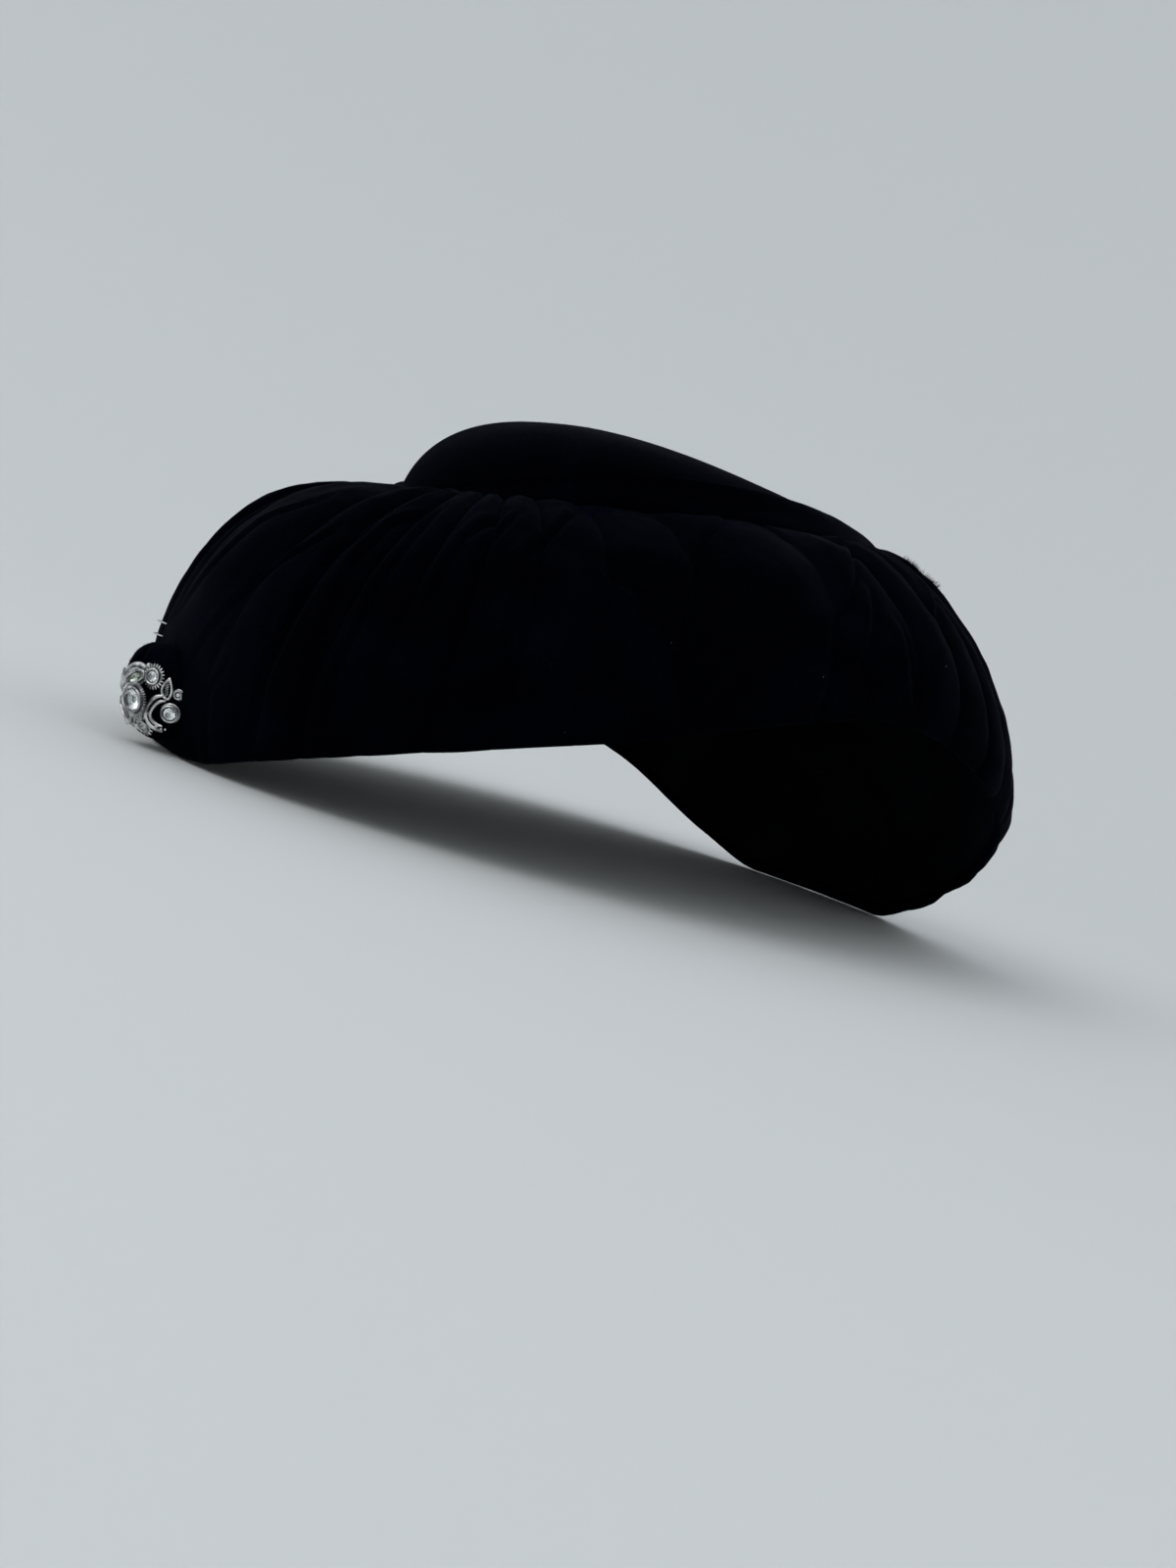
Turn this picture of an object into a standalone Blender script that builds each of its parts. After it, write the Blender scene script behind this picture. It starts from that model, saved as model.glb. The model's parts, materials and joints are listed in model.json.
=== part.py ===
"""Cocktail hat of black velvet: a small domed crown in a wide gathered brim, with a paste brooch in front.

Metres, +Z up. The hat rests on its rim on the floor, z = 0, facing -Y, with its wearer's left at +X.
Angles run round the hat from the middle of the back, through the wearer's left at 90, to the front at 180.
"""
import math

import bmesh
import bpy
import numpy as np
from mathutils import Matrix, Vector

# The rim, seen from above
RIM_FRONT = 0.1252
RIM_BACK = 0.1318
RIM_HALF_WIDTH = 0.105
RIM_EGG = 0.05
SIDE_ARCH = 0.0632

# The line where the gathers meet the crown
FOOT_HALF_LENGTH = 0.075
FOOT_HALF_WIDTH = 0.0634
FOOT_FORWARD = 0.0042
FOOT_HEIGHT = 0.0966
FOOT_RISE_TO_BACK = 0.164
FOOT_RISE_TO_LEFT = 0.093
FOOT_SIDE_LIFT = 0.002

# The crown
CROWN_HEIGHT = 0.0251
CROWN_PEAK_FORWARD = 0.0148
BAND_HEIGHT = 0.009

# Walls and the play between pieces
BRIM_WALL = 0.0026
CROWN_WALL = 0.0020
BAND_WALL = 0.0016
LINING_WALL = 0.0012
PLAY = 0.0003
BAND_PLAY = 0.0005
LINING_PLAY = 0.0004

# The gathers
SHOULDER = 0.0047
BULGE = 0.0187
FOOT_LEAN = 22.0
FOLD_DEPTH = 0.0034
FOLD_SINK = 0.4
COLUMNS_PER_GATHER = 4

# The brooch and the velvet knot above it
BROOCH_ANGLE = 179.4
BROOCH_DOWN = 0.903
BROOCH_TURN = 24.0
BROOCH_HALF_WIDTH = 0.0106
BROOCH_HALF_HEIGHT = 0.0086
WIRE = 0.0008
SCROLL_WIRE = 0.0007
SPOKE_WIRE = 0.0006
SPOKE_START = 0.22
SEAT = 0.0006
STONE_PLAY = 0.00025
CUP_WALL = 0.00045
CULET = 0.6
CULET_SIZE = 0.3
TABLE_RISE = 0.35
TABLE_SIZE = 0.58
CUP_FLOOR = 0.0002
CUP_FOOT = 0.7
SCROLL_START = -150
SCROLL_SWEEP = 280
SCROLL_GROWTH = 0.4
SCROLL_BITE = 0.6
SCROLL_DROP = 1.2
LEAF_AT = (0.94, 0.42)
LEAF_SIZE = (0.13, 0.36)
LEAF_TAPER = 0.35
LEAF_THICK = 1.2
LEAF_LIFT = 1.5
LEAF_TURN = 18
KNOT_HALF_WIDTH = 0.0122
KNOT_HALF_HEIGHT = 0.0130
KNOT_RAISE = 0.0028
KNOT_DEPTH = 0.0070
KNOT_FULLNESS = 2.4
PRESS_ANGLE = 15.0
PRESS_DOWN = 0.26

# Height of the rim above the floor: angle, share of the side arch
RIM_RISE = (
    (-165, 0.00), (-150, 0.06), (-125, 0.30), (-80, 0.56), (-60, 0.40), (-42, 0.12), (-30, 0.00),
    (-5, 0.00), (4, 0.09), (15, 0.26), (30, 0.51), (49, 0.78), (78, 1.00), (93, 0.87), (111, 0.63),
    (137, 0.32), (147, 0.21), (159, 0.09), (168, 0.015), (176, 0.00),
)
# Section of the brim: angle, share of the shoulder, reach of the shoulder as a share of the brim's
# width, start of the fall as a share of the brim's height, share of the bulge
BRIM_SECTIONS = (
    (-180, 1.00, 0.77, 0.52, 1.00),
    (-90, 0.33, 0.66, 0.50, 0.34),
    (-30, 0.00, 0.40, 0.26, 0.36),
    (0, 0.00, 0.40, 0.28, 0.40),
    (30, 0.00, 0.37, 0.20, 0.55),
    (90, 0.42, 0.62, 0.44, 0.37),
)
SHOULDER_SHARE, REACH, FALL, BULGE_SHARE = 1, 2, 3, 4
# Fullness of the crown's curve: angle, exponent of the curve
CROWN_CURVE = ((-180, 2.33), (-120, 2.7), (-60, 2.2), (0, 1.72), (60, 2.03), (120, 2.72))
# Height of the smooth band at the foot of the crown: angle, share of the band's height
BAND_SHARE = ((-180, 0.30), (-120, 0.90), (-60, 0.50), (-20, 0.18), (20, 0.18), (60, 0.50), (120, 1.00))
# Creases on the wearer's left: angle at the rim, swing at the foot in degrees, depth of the fold before it
CREASES = (
    (4, 0, 0.8), (14, 0, 0.9), (24, -1, 0.8), (33, -2, 1.0), (42, -3, 0.9), (51, -4, 0.8),
    (60, -5, 0.9), (69, -6, 0.9), (78, -7, 0.8), (90, -8, 0.7), (107, -3, 0.6), (117, 0, 0.8),
    (126, 0, 0.9), (134, -1, 0.9), (142, -5, 0.9), (150, -8, 1.0), (158, -11, 1.0), (168, -14, 0.9),
)
# Share of the fold's depth on the way from the foot, 0, to the rim, 1
FOLD_FADE = ((0.0, 0.35), (0.12, 0.85), (0.3, 1.0), (0.6, 0.75), (0.85, 0.45), (1.0, 0.25))
OUTER_STEPS = (0.0, 0.07, 0.16, 0.27, 0.40, 0.54, 0.68, 0.81, 0.92, 1.0)
HEM_AT = 0.955
INNER_STEPS = (0.0, 0.15, 0.32, 0.50, 0.68, 0.84, HEM_AT, 1.0)
CROWN_STEPS = (0.2, 0.42, 0.64, 0.84)
CROWN_COLUMNS = 54
BAND_STEPS = (0.0, 0.4, 0.75, 1.0)
RING_STEPS = 30
SPOKE_STEPS = 7
SCROLL_STEPS = 9

# Brooch stones: name, x and y as shares of the brooch's half width and half height, radius and
# rise of the cup above its neighbours in metres, and whether a scroll of wire runs round it
STONES = (
    ("stone_centre", 0.0, 0.06, 0.0028, 0.0022, False),
    ("stone_top", 0.0, 0.84, 0.0014, 0.0, False),
    ("stone_shell_left", 0.48, 0.74, 0.0017, 0.0, True),
    ("stone_shell_right", -0.48, 0.74, 0.0017, 0.0, True),
    ("stone_scroll_left", 0.76, -0.16, 0.0018, 0.0, True),
    ("stone_scroll_right", -0.76, -0.16, 0.0018, 0.0, True),
    ("stone_lower", 0.0, -0.80, 0.0012, 0.0, False),
)
NAME, AT_X, AT_Y, RADIUS, RISE, SCROLLED = range(6)

BLACK_VELVET = ("black_velvet", (0.006, 0.007, 0.012, 1), 0.85, 0.0)
BLACK_LINING = ("black_lining", (0.010, 0.010, 0.014, 1), 0.6, 0.0)
SILVER = ("silver_metal", (0.72, 0.72, 0.74, 1), 0.25, 1.0)
PASTE = ("clear_paste", (0.92, 0.94, 0.97, 1), 0.05, 0.0)


def clear_scene():
    for thing in list(bpy.data.objects):
        bpy.data.objects.remove(thing, do_unlink=True)


def collection(name):
    group = bpy.data.collections.new(name)
    bpy.context.scene.collection.children.link(group)
    return group


def material(finish):
    name, colour, roughness, metallic = finish
    made = bpy.data.materials.get(name) or bpy.data.materials.new(name)
    made.use_nodes = True
    shader = made.node_tree.nodes["Principled BSDF"]
    shader.inputs["Base Color"].default_value = colour
    shader.inputs["Roughness"].default_value = roughness
    shader.inputs["Metallic"].default_value = metallic
    made.diffuse_color = colour
    return made


def round_table(table, column, angles):
    """Smooth closed curve through one column of a table whose first column is an angle."""
    rows = np.array(table, float)
    knots = np.concatenate([rows[:, 0] - 360, rows[:, 0], rows[:, 0] + 360])
    values = np.tile(rows[:, column], 3)
    slopes = np.diff(values) / np.diff(knots)
    before, after = slopes[:-1], slopes[1:]
    turning = before * after <= 0
    inner = np.where(turning, 0, 2 * before * after / np.where(turning, 1, before + after))
    tangents = np.concatenate([[0], inner, [0]])
    wrapped = (np.asarray(angles, float) + 180) % 360 - 180
    k = np.clip(np.searchsorted(knots, wrapped, side="right") - 1, 0, len(knots) - 2)
    step = knots[k + 1] - knots[k]
    s = (wrapped - knots[k]) / step
    return ((2 * s**3 - 3 * s**2 + 1) * values[k] + (s**3 - 2 * s**2 + s) * step * tangents[k]
            + (3 * s**2 - 2 * s**3) * values[k + 1] + (s**3 - s**2) * step * tangents[k + 1])


def plan_ring(angles, front, back, half_width, egg=0.0):
    turn = np.radians(angles)
    x = half_width * np.sin(turn) * (1 + egg * np.cos(turn))
    y = np.where(np.cos(turn) > 0, back, front) * np.cos(turn)
    return np.stack([x, y], -1)


def foot_ring(angles, grow=0.0):
    """The oval where the gathers meet the crown, moved outwards by grow."""
    flat = plan_ring(angles, FOOT_HALF_LENGTH + grow, FOOT_HALF_LENGTH + grow, FOOT_HALF_WIDTH + grow)
    flat[..., 1] -= FOOT_FORWARD
    height = (FOOT_HEIGHT + FOOT_RISE_TO_BACK * flat[..., 1] + FOOT_RISE_TO_LEFT * flat[..., 0]
              + FOOT_SIDE_LIFT * np.sin(np.radians(angles))**2)
    return np.concatenate([flat, height[..., None]], -1)


def rim_ring(angles):
    flat = plan_ring(angles, RIM_FRONT, RIM_BACK, RIM_HALF_WIDTH, RIM_EGG)
    height = SIDE_ARCH * round_table(RIM_RISE, 1, angles)
    return np.concatenate([flat, height[..., None]], -1)


def foot_angles(angles):
    """Where the fall lines that end at these angles of the rim start: most of them lean forwards."""
    turn = np.radians(angles)
    return angles + FOOT_LEAN * np.sin(turn) * (1 - np.cos(turn)) / 2


def brim_point(angles, down):
    """Point of the brim before it is gathered: down is 0 at the crown and 1 at the rim."""
    angles = np.asarray(angles, float)
    foot = foot_ring(foot_angles(angles))
    rim = rim_ring(angles)
    out = (rim - foot) * (1, 1, 0)
    width = np.linalg.norm(out, axis=-1, keepdims=True)
    out = out / width
    up = np.array((0.0, 0.0, 1.0))
    tall = (foot - rim)[..., 2:3]
    share = [round_table(BRIM_SECTIONS, column, angles)[..., None] for column in range(5)]
    shoulder = foot + out * width * share[REACH] + up * SHOULDER * share[SHOULDER_SHARE]
    fall = rim + up * tall * share[FALL] + out * BULGE * share[BULGE_SHARE]
    t = np.broadcast_to(np.asarray(down, float), angles.shape)[..., None]
    return (1 - t)**3 * foot + 3 * (1 - t)**2 * t * shoulder + 3 * (1 - t) * t**2 * fall + t**3 * rim


def brim_normal(angles, down):
    """Outward direction of the brim, found from its slopes."""
    angles = np.asarray(angles, float)
    down = np.broadcast_to(np.asarray(down, float), angles.shape)
    small = 0.01
    low, high = np.clip(down - small, 0, 1), np.clip(down + small, 0, 1)
    along = brim_point(angles, high) - brim_point(angles, low)
    around = brim_point(angles + 1, down) - brim_point(angles - 1, down)
    normal = np.cross(around, along)
    return normal / np.linalg.norm(normal, axis=-1, keepdims=True)


def level(direction):
    flat = direction * (1, 1, 0)
    return flat / np.linalg.norm(flat, axis=-1, keepdims=True)


def crown_point(angles, up, grow=0.0):
    """Point of the crown's dome, moved outwards by grow: up is 0 at its edge and 1 at its peak."""
    angles = np.asarray(angles, float)
    seat = PLAY + BAND_WALL + BAND_PLAY
    edge = foot_ring(angles, grow - seat)
    edge[..., 2] -= BRIM_WALL
    curve = round_table(CROWN_CURVE, 1, angles)
    turn = np.asarray(up, float) * math.pi / 2
    inwards = np.cos(turn) ** (2 / curve)
    upwards = np.sin(turn) ** (2 / curve)
    peak_y = -CROWN_PEAK_FORWARD
    peak_z = FOOT_HEIGHT + FOOT_RISE_TO_BACK * peak_y + CROWN_HEIGHT + grow
    x = edge[..., 0] * inwards
    y = peak_y + (edge[..., 1] - peak_y) * inwards
    z = edge[..., 2] + (peak_z - edge[..., 2]) * upwards
    return np.stack([x, y, z], -1)


def gather_columns():
    """Columns of the gathered skin: angle at the rim, swing, depth and place between two creases."""
    left = list(CREASES)
    right = []
    for near, far in zip(left, left[1:] + [(360 - left[-1][0] - 4, 14, 0.9)]):
        middle = (near[0] + far[0]) / 2
        right.append((-middle, -(near[1] + min(far[1], 0)) / 2, (near[2] + far[2]) / 2))
    creases = sorted(left + right)
    creases.append((creases[0][0] + 360, creases[0][1], creases[0][2]))
    columns = []
    for this, following in zip(creases, creases[1:]):
        for step in range(COLUMNS_PER_GATHER):
            f = step / COLUMNS_PER_GATHER
            angle = this[0] + (following[0] - this[0]) * f
            swing = this[1] + (following[1] - this[1]) * f
            columns.append((angle, swing, this[2], math.sin(math.pi * f) ** 0.8))
    return np.array(columns)


def gathered_skin(down, columns):
    """One ring of the brim's outer skin, with its gathers."""
    angle, swing, depth, puff = columns.T
    angles = angle + swing * (1 - down) ** 1.5
    fade_at, fade = zip(*FOLD_FADE)
    pressed = np.exp(-(((angles - BROOCH_ANGLE + 180) % 360 - 180) / PRESS_ANGLE) ** 2
                     - ((down - BROOCH_DOWN + PRESS_DOWN / 3) / PRESS_DOWN) ** 2)
    lift = FOLD_DEPTH * np.interp(down, fade_at, fade) * (puff * depth - FOLD_SINK) * (1 - pressed)
    normal = brim_normal(angles, down)
    if down == 1.0:
        normal = level(normal)
    return brim_point(angles, down) + normal * lift[:, None]


def under_skin(down, columns, depth):
    """One smooth ring on the inner side, depth below the ungathered brim."""
    angle, swing = columns[:, 0], columns[:, 1]
    angles = angle + swing * (1 - down) ** 1.5
    normal = brim_normal(angles, down)
    if down == 1.0:
        normal = level(normal)
    return brim_point(angles, down) - normal * depth


def shell(name, rings, group, finish, smooth=40):
    """Closed body through a round of rings, each a row of points or a single point."""
    mesh = bmesh.new()
    rows = [[mesh.verts.new(point) for point in np.atleast_2d(ring)] for ring in rings]
    for first, second in zip(rows, rows[1:] + rows[:1]):
        if len(first) == 1 and len(second) == 1:
            continue
        for i in range(max(len(first), len(second))):
            corners = [first[i % len(first)], first[(i + 1) % len(first)],
                       second[(i + 1) % len(second)], second[i % len(second)]]
            mesh.faces.new(list(dict.fromkeys(corners)))
    bmesh.ops.recalc_face_normals(mesh, faces=mesh.faces)
    return finished(name, mesh, group, finish, smooth)


def finished(name, mesh, group, finish, smooth=40):
    data = bpy.data.meshes.new(name)
    mesh.to_mesh(data)
    mesh.free()
    thing = bpy.data.objects.new(name, data)
    group.objects.link(thing)
    data.materials.append(material(finish))
    data.shade_smooth()
    data.set_sharp_from_angle(angle=math.radians(smooth))
    return thing


def make_brim(group):
    columns = gather_columns()
    outer = [gathered_skin(down, columns) for down in OUTER_STEPS]
    inner = [under_skin(down, columns, BRIM_WALL) for down in INNER_STEPS]
    return shell("brim", outer + inner[::-1], group, BLACK_VELVET)


def crown_angles():
    return np.arange(CROWN_COLUMNS) * 360 / CROWN_COLUMNS


def band_up(angles, share):
    """How far up the crown the band reaches, share of the way to its upper edge."""
    edge = crown_point(angles, 0.0)[:, 2]
    peak = crown_point(0.0, 1.0)[2]
    top = BRIM_WALL + BAND_HEIGHT * round_table(BAND_SHARE, 1, angles)
    curve = round_table(CROWN_CURVE, 1, angles)
    return 2 / math.pi * np.arcsin(np.clip(top * share / (peak - edge), 0, 1) ** (curve / 2))


def crown_rows(angles):
    """Heights of the crown's rings: the band's own first, so that the two lie together, then the dome's."""
    low = [band_up(angles, share) for share in BAND_STEPS]
    return low + [low[-1] + (1 - low[-1]) * step for step in CROWN_STEPS]


def make_crown(group):
    angles = crown_angles()
    rows = crown_rows(angles)
    outer = [crown_point(angles, up) for up in rows]
    inner = [crown_point(angles, up, -CROWN_WALL) for up in rows]
    tips = [crown_point(0.0, 1.0), crown_point(0.0, 1.0, -CROWN_WALL)]
    return shell("crown", outer + tips + inner[::-1], group, BLACK_VELVET)


def make_crown_band(group):
    angles = crown_angles()
    rows = crown_rows(angles)[:len(BAND_STEPS)]
    outer = [crown_point(angles, up, BAND_PLAY + BAND_WALL) for up in rows]
    inner = [crown_point(angles, up, BAND_PLAY) for up in rows]
    return shell("crown_band", outer + inner[::-1], group, BLACK_VELVET)


def lining_skin(depth, columns):
    """Rings of one side of the lining, from the hem up into the crown."""
    angles = foot_angles(columns[:, 0] + columns[:, 1])
    rings = [under_skin(down, columns, BRIM_WALL + depth) for down in INNER_STEPS[-2::-1]]
    seat = crown_point(angles, 0.0, -CROWN_WALL - depth)
    seat[:, 2] -= depth
    rings.append(seat)
    rings += [crown_point(angles, up, -CROWN_WALL - depth) for up in crown_rows(angles)[2::2]]
    rings.append(crown_point(0.0, 1.0, -CROWN_WALL - depth))
    return rings


def make_lining(group):
    columns = gather_columns()[::COLUMNS_PER_GATHER]
    outer = lining_skin(LINING_PLAY, columns)
    inner = lining_skin(LINING_PLAY + LINING_WALL, columns)
    return shell("lining", outer + inner[::-1], group, BLACK_LINING)


class Front:
    """The place that the brooch lies on: x to the wearer's left, y up and z out, turned to the left."""

    def __init__(self):
        self.middle = brim_point(BROOCH_ANGLE, BROOCH_DOWN)
        self.brim_out = brim_normal(BROOCH_ANGLE, BROOCH_DOWN)
        up = np.array((0.0, 0.0, 1.0))
        self.up = up - self.brim_out * (up @ self.brim_out)
        self.up /= np.linalg.norm(self.up)
        self.brim_side = np.cross(self.up, self.brim_out)
        turn = math.radians(BROOCH_TURN)
        self.out = self.brim_out * math.cos(turn) + self.brim_side * math.sin(turn)
        self.side = np.cross(self.up, self.out)
        self.across = self.roundness(brim_point(BROOCH_ANGLE - 5, BROOCH_DOWN), self.brim_side)
        self.along = self.roundness(brim_point(BROOCH_ANGLE, BROOCH_DOWN - 0.08), self.up)

    def roundness(self, point, direction):
        offset = point - self.middle
        return -(offset @ self.brim_out) / (offset @ direction) ** 2

    def clear(self, point, play):
        """Moves a point out of the brim until it is clear by play."""
        offset = point - self.middle
        sideways, upwards = offset @ self.brim_side, offset @ self.up
        height = offset @ self.brim_out + self.across * sideways**2 + self.along * upwards**2
        return point + self.brim_out * max(0.0, play - height)

    def at(self, x, y, z, play):
        """World point at x, y, z, at least play away from the brim."""
        return Vector(self.clear(self.middle + self.side * x + self.up * y + self.out * z, play))


def knot_surface(x, y, grow=0.0):
    """Height of the velvet knot's face at x, y, moved outwards by grow."""
    share = (abs(x) / (KNOT_HALF_WIDTH + grow)) ** KNOT_FULLNESS
    share += (abs(y - KNOT_RAISE) / (KNOT_HALF_HEIGHT + grow)) ** KNOT_FULLNESS
    return (KNOT_DEPTH + grow) * max(0.0, 1 - share) ** (1 / KNOT_FULLNESS)


def on_knot(front, x, y, play):
    """World point over the knot, play away from the knot and from the brim."""
    return front.at(x, y, knot_surface(x, y, play), play)


def knot_frame(front, x, y, play):
    """Axes at a point over the knot: its third axis points out of the knot."""
    step = 0.0005
    place = on_knot(front, x, y, play)
    across = on_knot(front, x + step, y, play) - on_knot(front, x - step, y, play)
    along = on_knot(front, x, y + step, play) - on_knot(front, x, y - step, play)
    out = across.cross(along).normalized()
    up = along.normalized()
    axes = Matrix((up.cross(out), up, out)).transposed().to_4x4()
    return Matrix.Translation(place) @ axes


def tube(name, points, radius, group, closed=False):
    curve = bpy.data.curves.new(name, "CURVE")
    curve.dimensions = "3D"
    curve.bevel_depth = radius
    curve.bevel_resolution = 1
    curve.use_fill_caps = not closed
    spline = curve.splines.new("POLY")
    spline.points.add(len(points) - 1)
    for target, point in zip(spline.points, points):
        target.co = (*point, 1)
    spline.use_cyclic_u = closed
    guide = bpy.data.objects.new(name, curve)
    group.objects.link(guide)
    bpy.context.view_layer.update()
    data = bpy.data.meshes.new_from_object(guide.evaluated_get(bpy.context.evaluated_depsgraph_get()))
    bpy.data.objects.remove(guide, do_unlink=True)
    mesh = bmesh.new()
    mesh.from_mesh(data)
    bmesh.ops.remove_doubles(mesh, verts=mesh.verts, dist=0.000005)
    bmesh.ops.recalc_face_normals(mesh, faces=mesh.faces)
    return cutter(name, mesh, group)


def cutter(name, mesh, group):
    piece = finished(name, mesh, group, SILVER)
    piece.hide_render = True
    piece.display_type = "WIRE"
    return piece


def cup_height(row):
    """Height of a stone's girdle above the back of the brooch: the wire, the floor and the stone's back."""
    return 2 * SPOKE_WIRE + CUP_FLOOR + STONE_PLAY + row[RADIUS] * CULET + row[RISE]


def cup(row, frame, group):
    """Bezel of a stone: a round block with a recess in its face."""
    mesh = bmesh.new()
    height = cup_height(row)
    radius = row[RADIUS] + STONE_PLAY + CUP_WALL
    bmesh.ops.create_cone(mesh, cap_ends=True, segments=12, radius1=radius * CUP_FOOT, radius2=radius, depth=height,
                          matrix=Matrix.Translation((0, 0, height / 2)))
    top = max(mesh.faces, key=lambda face: face.calc_center_median().z)
    bmesh.ops.inset_region(mesh, faces=[top], thickness=CUP_WALL, use_even_offset=True)
    bmesh.ops.translate(mesh, verts=top.verts, vec=(0, 0, -row[RADIUS] * CULET - STONE_PLAY))
    mesh.transform(frame)
    return cutter(row[NAME] + "_cup", mesh, group)


def make_stone(row, frame, group):
    """Round cut stone: a table, a ring of facets, the girdle, and a pointed back cut flat."""
    radius = row[RADIUS]
    mesh = bmesh.new()
    bmesh.ops.create_cone(mesh, cap_ends=True, segments=10, radius1=radius * CULET_SIZE, radius2=radius,
                          depth=radius * CULET, matrix=Matrix.Translation((0, 0, -radius * CULET / 2)))
    top = max(mesh.faces, key=lambda face: face.calc_center_median().z)
    raised = bmesh.ops.extrude_face_region(mesh, geom=[top])["geom"]
    bmesh.ops.delete(mesh, geom=[top], context="FACES_ONLY")
    table = [part for part in raised if isinstance(part, bmesh.types.BMVert)]
    bmesh.ops.translate(mesh, verts=table, vec=(0, 0, radius * TABLE_RISE))
    bmesh.ops.scale(mesh, verts=table, vec=(TABLE_SIZE, TABLE_SIZE, 1))
    bmesh.ops.recalc_face_normals(mesh, faces=mesh.faces)
    mesh.transform(frame @ Matrix.Translation((0, 0, cup_height(row))))
    return finished(row[NAME], mesh, group, PASTE, smooth=1)


def scroll(row, frame):
    """Scroll of wire round a stone's cup, open towards the middle of the brooch."""
    radius = row[RADIUS] + STONE_PLAY + CUP_WALL + SCROLL_WIRE * SCROLL_BITE
    side = math.copysign(1, row[AT_X])
    points = []
    for step in range(SCROLL_STEPS):
        turn = math.radians(SCROLL_START + SCROLL_SWEEP * step / (SCROLL_STEPS - 1))
        grow = radius * (1 + SCROLL_GROWTH * step / (SCROLL_STEPS - 1))
        points.append(frame @ Vector((-side * grow * math.cos(turn), grow * math.sin(turn),
                                      cup_height(row) - SCROLL_WIRE * SCROLL_DROP)))
    return points


def spoke(front, x, y):
    """Wire over the knot from under the centre stone to a stone's cup and on to the ring."""
    reach = math.hypot(x / BROOCH_HALF_WIDTH, y / BROOCH_HALF_HEIGHT)
    points = []
    for step in range(SPOKE_STEPS):
        share = (SPOKE_START + (1 - SPOKE_START) * step / (SPOKE_STEPS - 1)) / reach
        points.append(on_knot(front, x * share, y * share, SEAT + SPOKE_WIRE))
    return points


def make_brooch(group, cutters):
    front = Front()
    ring = []
    for step in range(RING_STEPS):
        turn = 2 * math.pi * step / RING_STEPS
        x, y = BROOCH_HALF_WIDTH * math.cos(turn), BROOCH_HALF_HEIGHT * math.sin(turn)
        ring.append(on_knot(front, x, y, SEAT + WIRE))
    pieces = [tube("brooch_ring", ring, WIRE, cutters, closed=True)]
    for row in STONES:
        x, y = row[AT_X] * BROOCH_HALF_WIDTH, row[AT_Y] * BROOCH_HALF_HEIGHT
        frame = knot_frame(front, x, y, SEAT)
        pieces.append(cup(row, frame, cutters))
        if row[NAME] != "stone_centre":
            pieces.append(tube(row[NAME] + "_spoke", spoke(front, x, y), SPOKE_WIRE, cutters))
        if row[SCROLLED]:
            pieces.append(tube(row[NAME] + "_scroll", scroll(row, frame), SCROLL_WIRE, cutters))
        make_stone(row, frame, group)
    for side in (-1, 1):
        pieces.append(leaf(front, side, cutters))
    frame = pieces[0].copy()
    frame.data = pieces[0].data.copy()
    frame.name = "brooch_frame"
    frame.hide_render = False
    frame.display_type = "TEXTURED"
    group.objects.link(frame)
    for piece in pieces[1:]:
        union = frame.modifiers.new(piece.name, "BOOLEAN")
        union.operation = "UNION"
        union.solver = "EXACT"
        union.object = piece
    return frame


def leaf(front, side, group):
    """Small cast leaf on the shoulder of the brooch's ring."""
    mesh = bmesh.new()
    bmesh.ops.create_uvsphere(mesh, u_segments=7, v_segments=6, radius=1)
    for vert in mesh.verts:
        vert.co.x *= BROOCH_HALF_WIDTH * LEAF_SIZE[0] * (1 - LEAF_TAPER * vert.co.y)
        vert.co.y *= BROOCH_HALF_HEIGHT * LEAF_SIZE[1]
        vert.co.z *= WIRE * LEAF_THICK
    x, y = BROOCH_HALF_WIDTH * LEAF_AT[0] * side, BROOCH_HALF_HEIGHT * LEAF_AT[1]
    turn = Matrix.Rotation(math.radians(LEAF_TURN * side), 4, "Z")
    mesh.transform(knot_frame(front, x, y, SEAT + WIRE * LEAF_LIFT) @ turn)
    return cutter("leaf_left" if side > 0 else "leaf_right", mesh, group)


def make_knot(group):
    """Velvet knot under and above the brooch: a full puff with its back on the brim."""
    front = Front()
    mesh = bmesh.new()
    bmesh.ops.create_uvsphere(mesh, u_segments=20, v_segments=12, radius=1)
    for vert in mesh.verts:
        x, y, z = vert.co
        reach = math.hypot(x, y)
        if reach > 0:
            # A round plan is stretched to the knot's fuller one
            share = (abs(x / reach) ** KNOT_FULLNESS + abs(y / reach) ** KNOT_FULLNESS) ** (-1 / KNOT_FULLNESS)
            x, y = x * share, y * share
        px = x * KNOT_HALF_WIDTH
        py = y * KNOT_HALF_HEIGHT + KNOT_RAISE
        pz = knot_surface(px, py) if z > 0 else -knot_surface(px, py)
        vert.co = front.at(px, py, pz, PLAY)
    return finished("velvet_knot", mesh, group, BLACK_VELVET)


def stand_on_floor(group, cutters):
    """Moves the model so that the middle of its box is over the origin and its rim on the floor."""
    bpy.context.view_layer.update()
    corners = np.array([thing.matrix_world @ vert.co for thing in group.objects for vert in thing.data.vertices])
    low, high = corners.min(0), corners.max(0)
    shift = Vector((-(low[0] + high[0]) / 2, -(low[1] + high[1]) / 2, -low[2]))
    for thing in list(group.objects) + list(cutters.objects):
        thing.location += shift


def main():
    clear_scene()
    hat = collection("cocktail_hat")
    cutters = collection("brooch_parts")
    make_crown(hat)
    make_crown_band(hat)
    make_brim(hat)
    make_lining(hat)
    make_knot(hat)
    make_brooch(hat, cutters)
    stand_on_floor(hat, cutters)


main()
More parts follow.
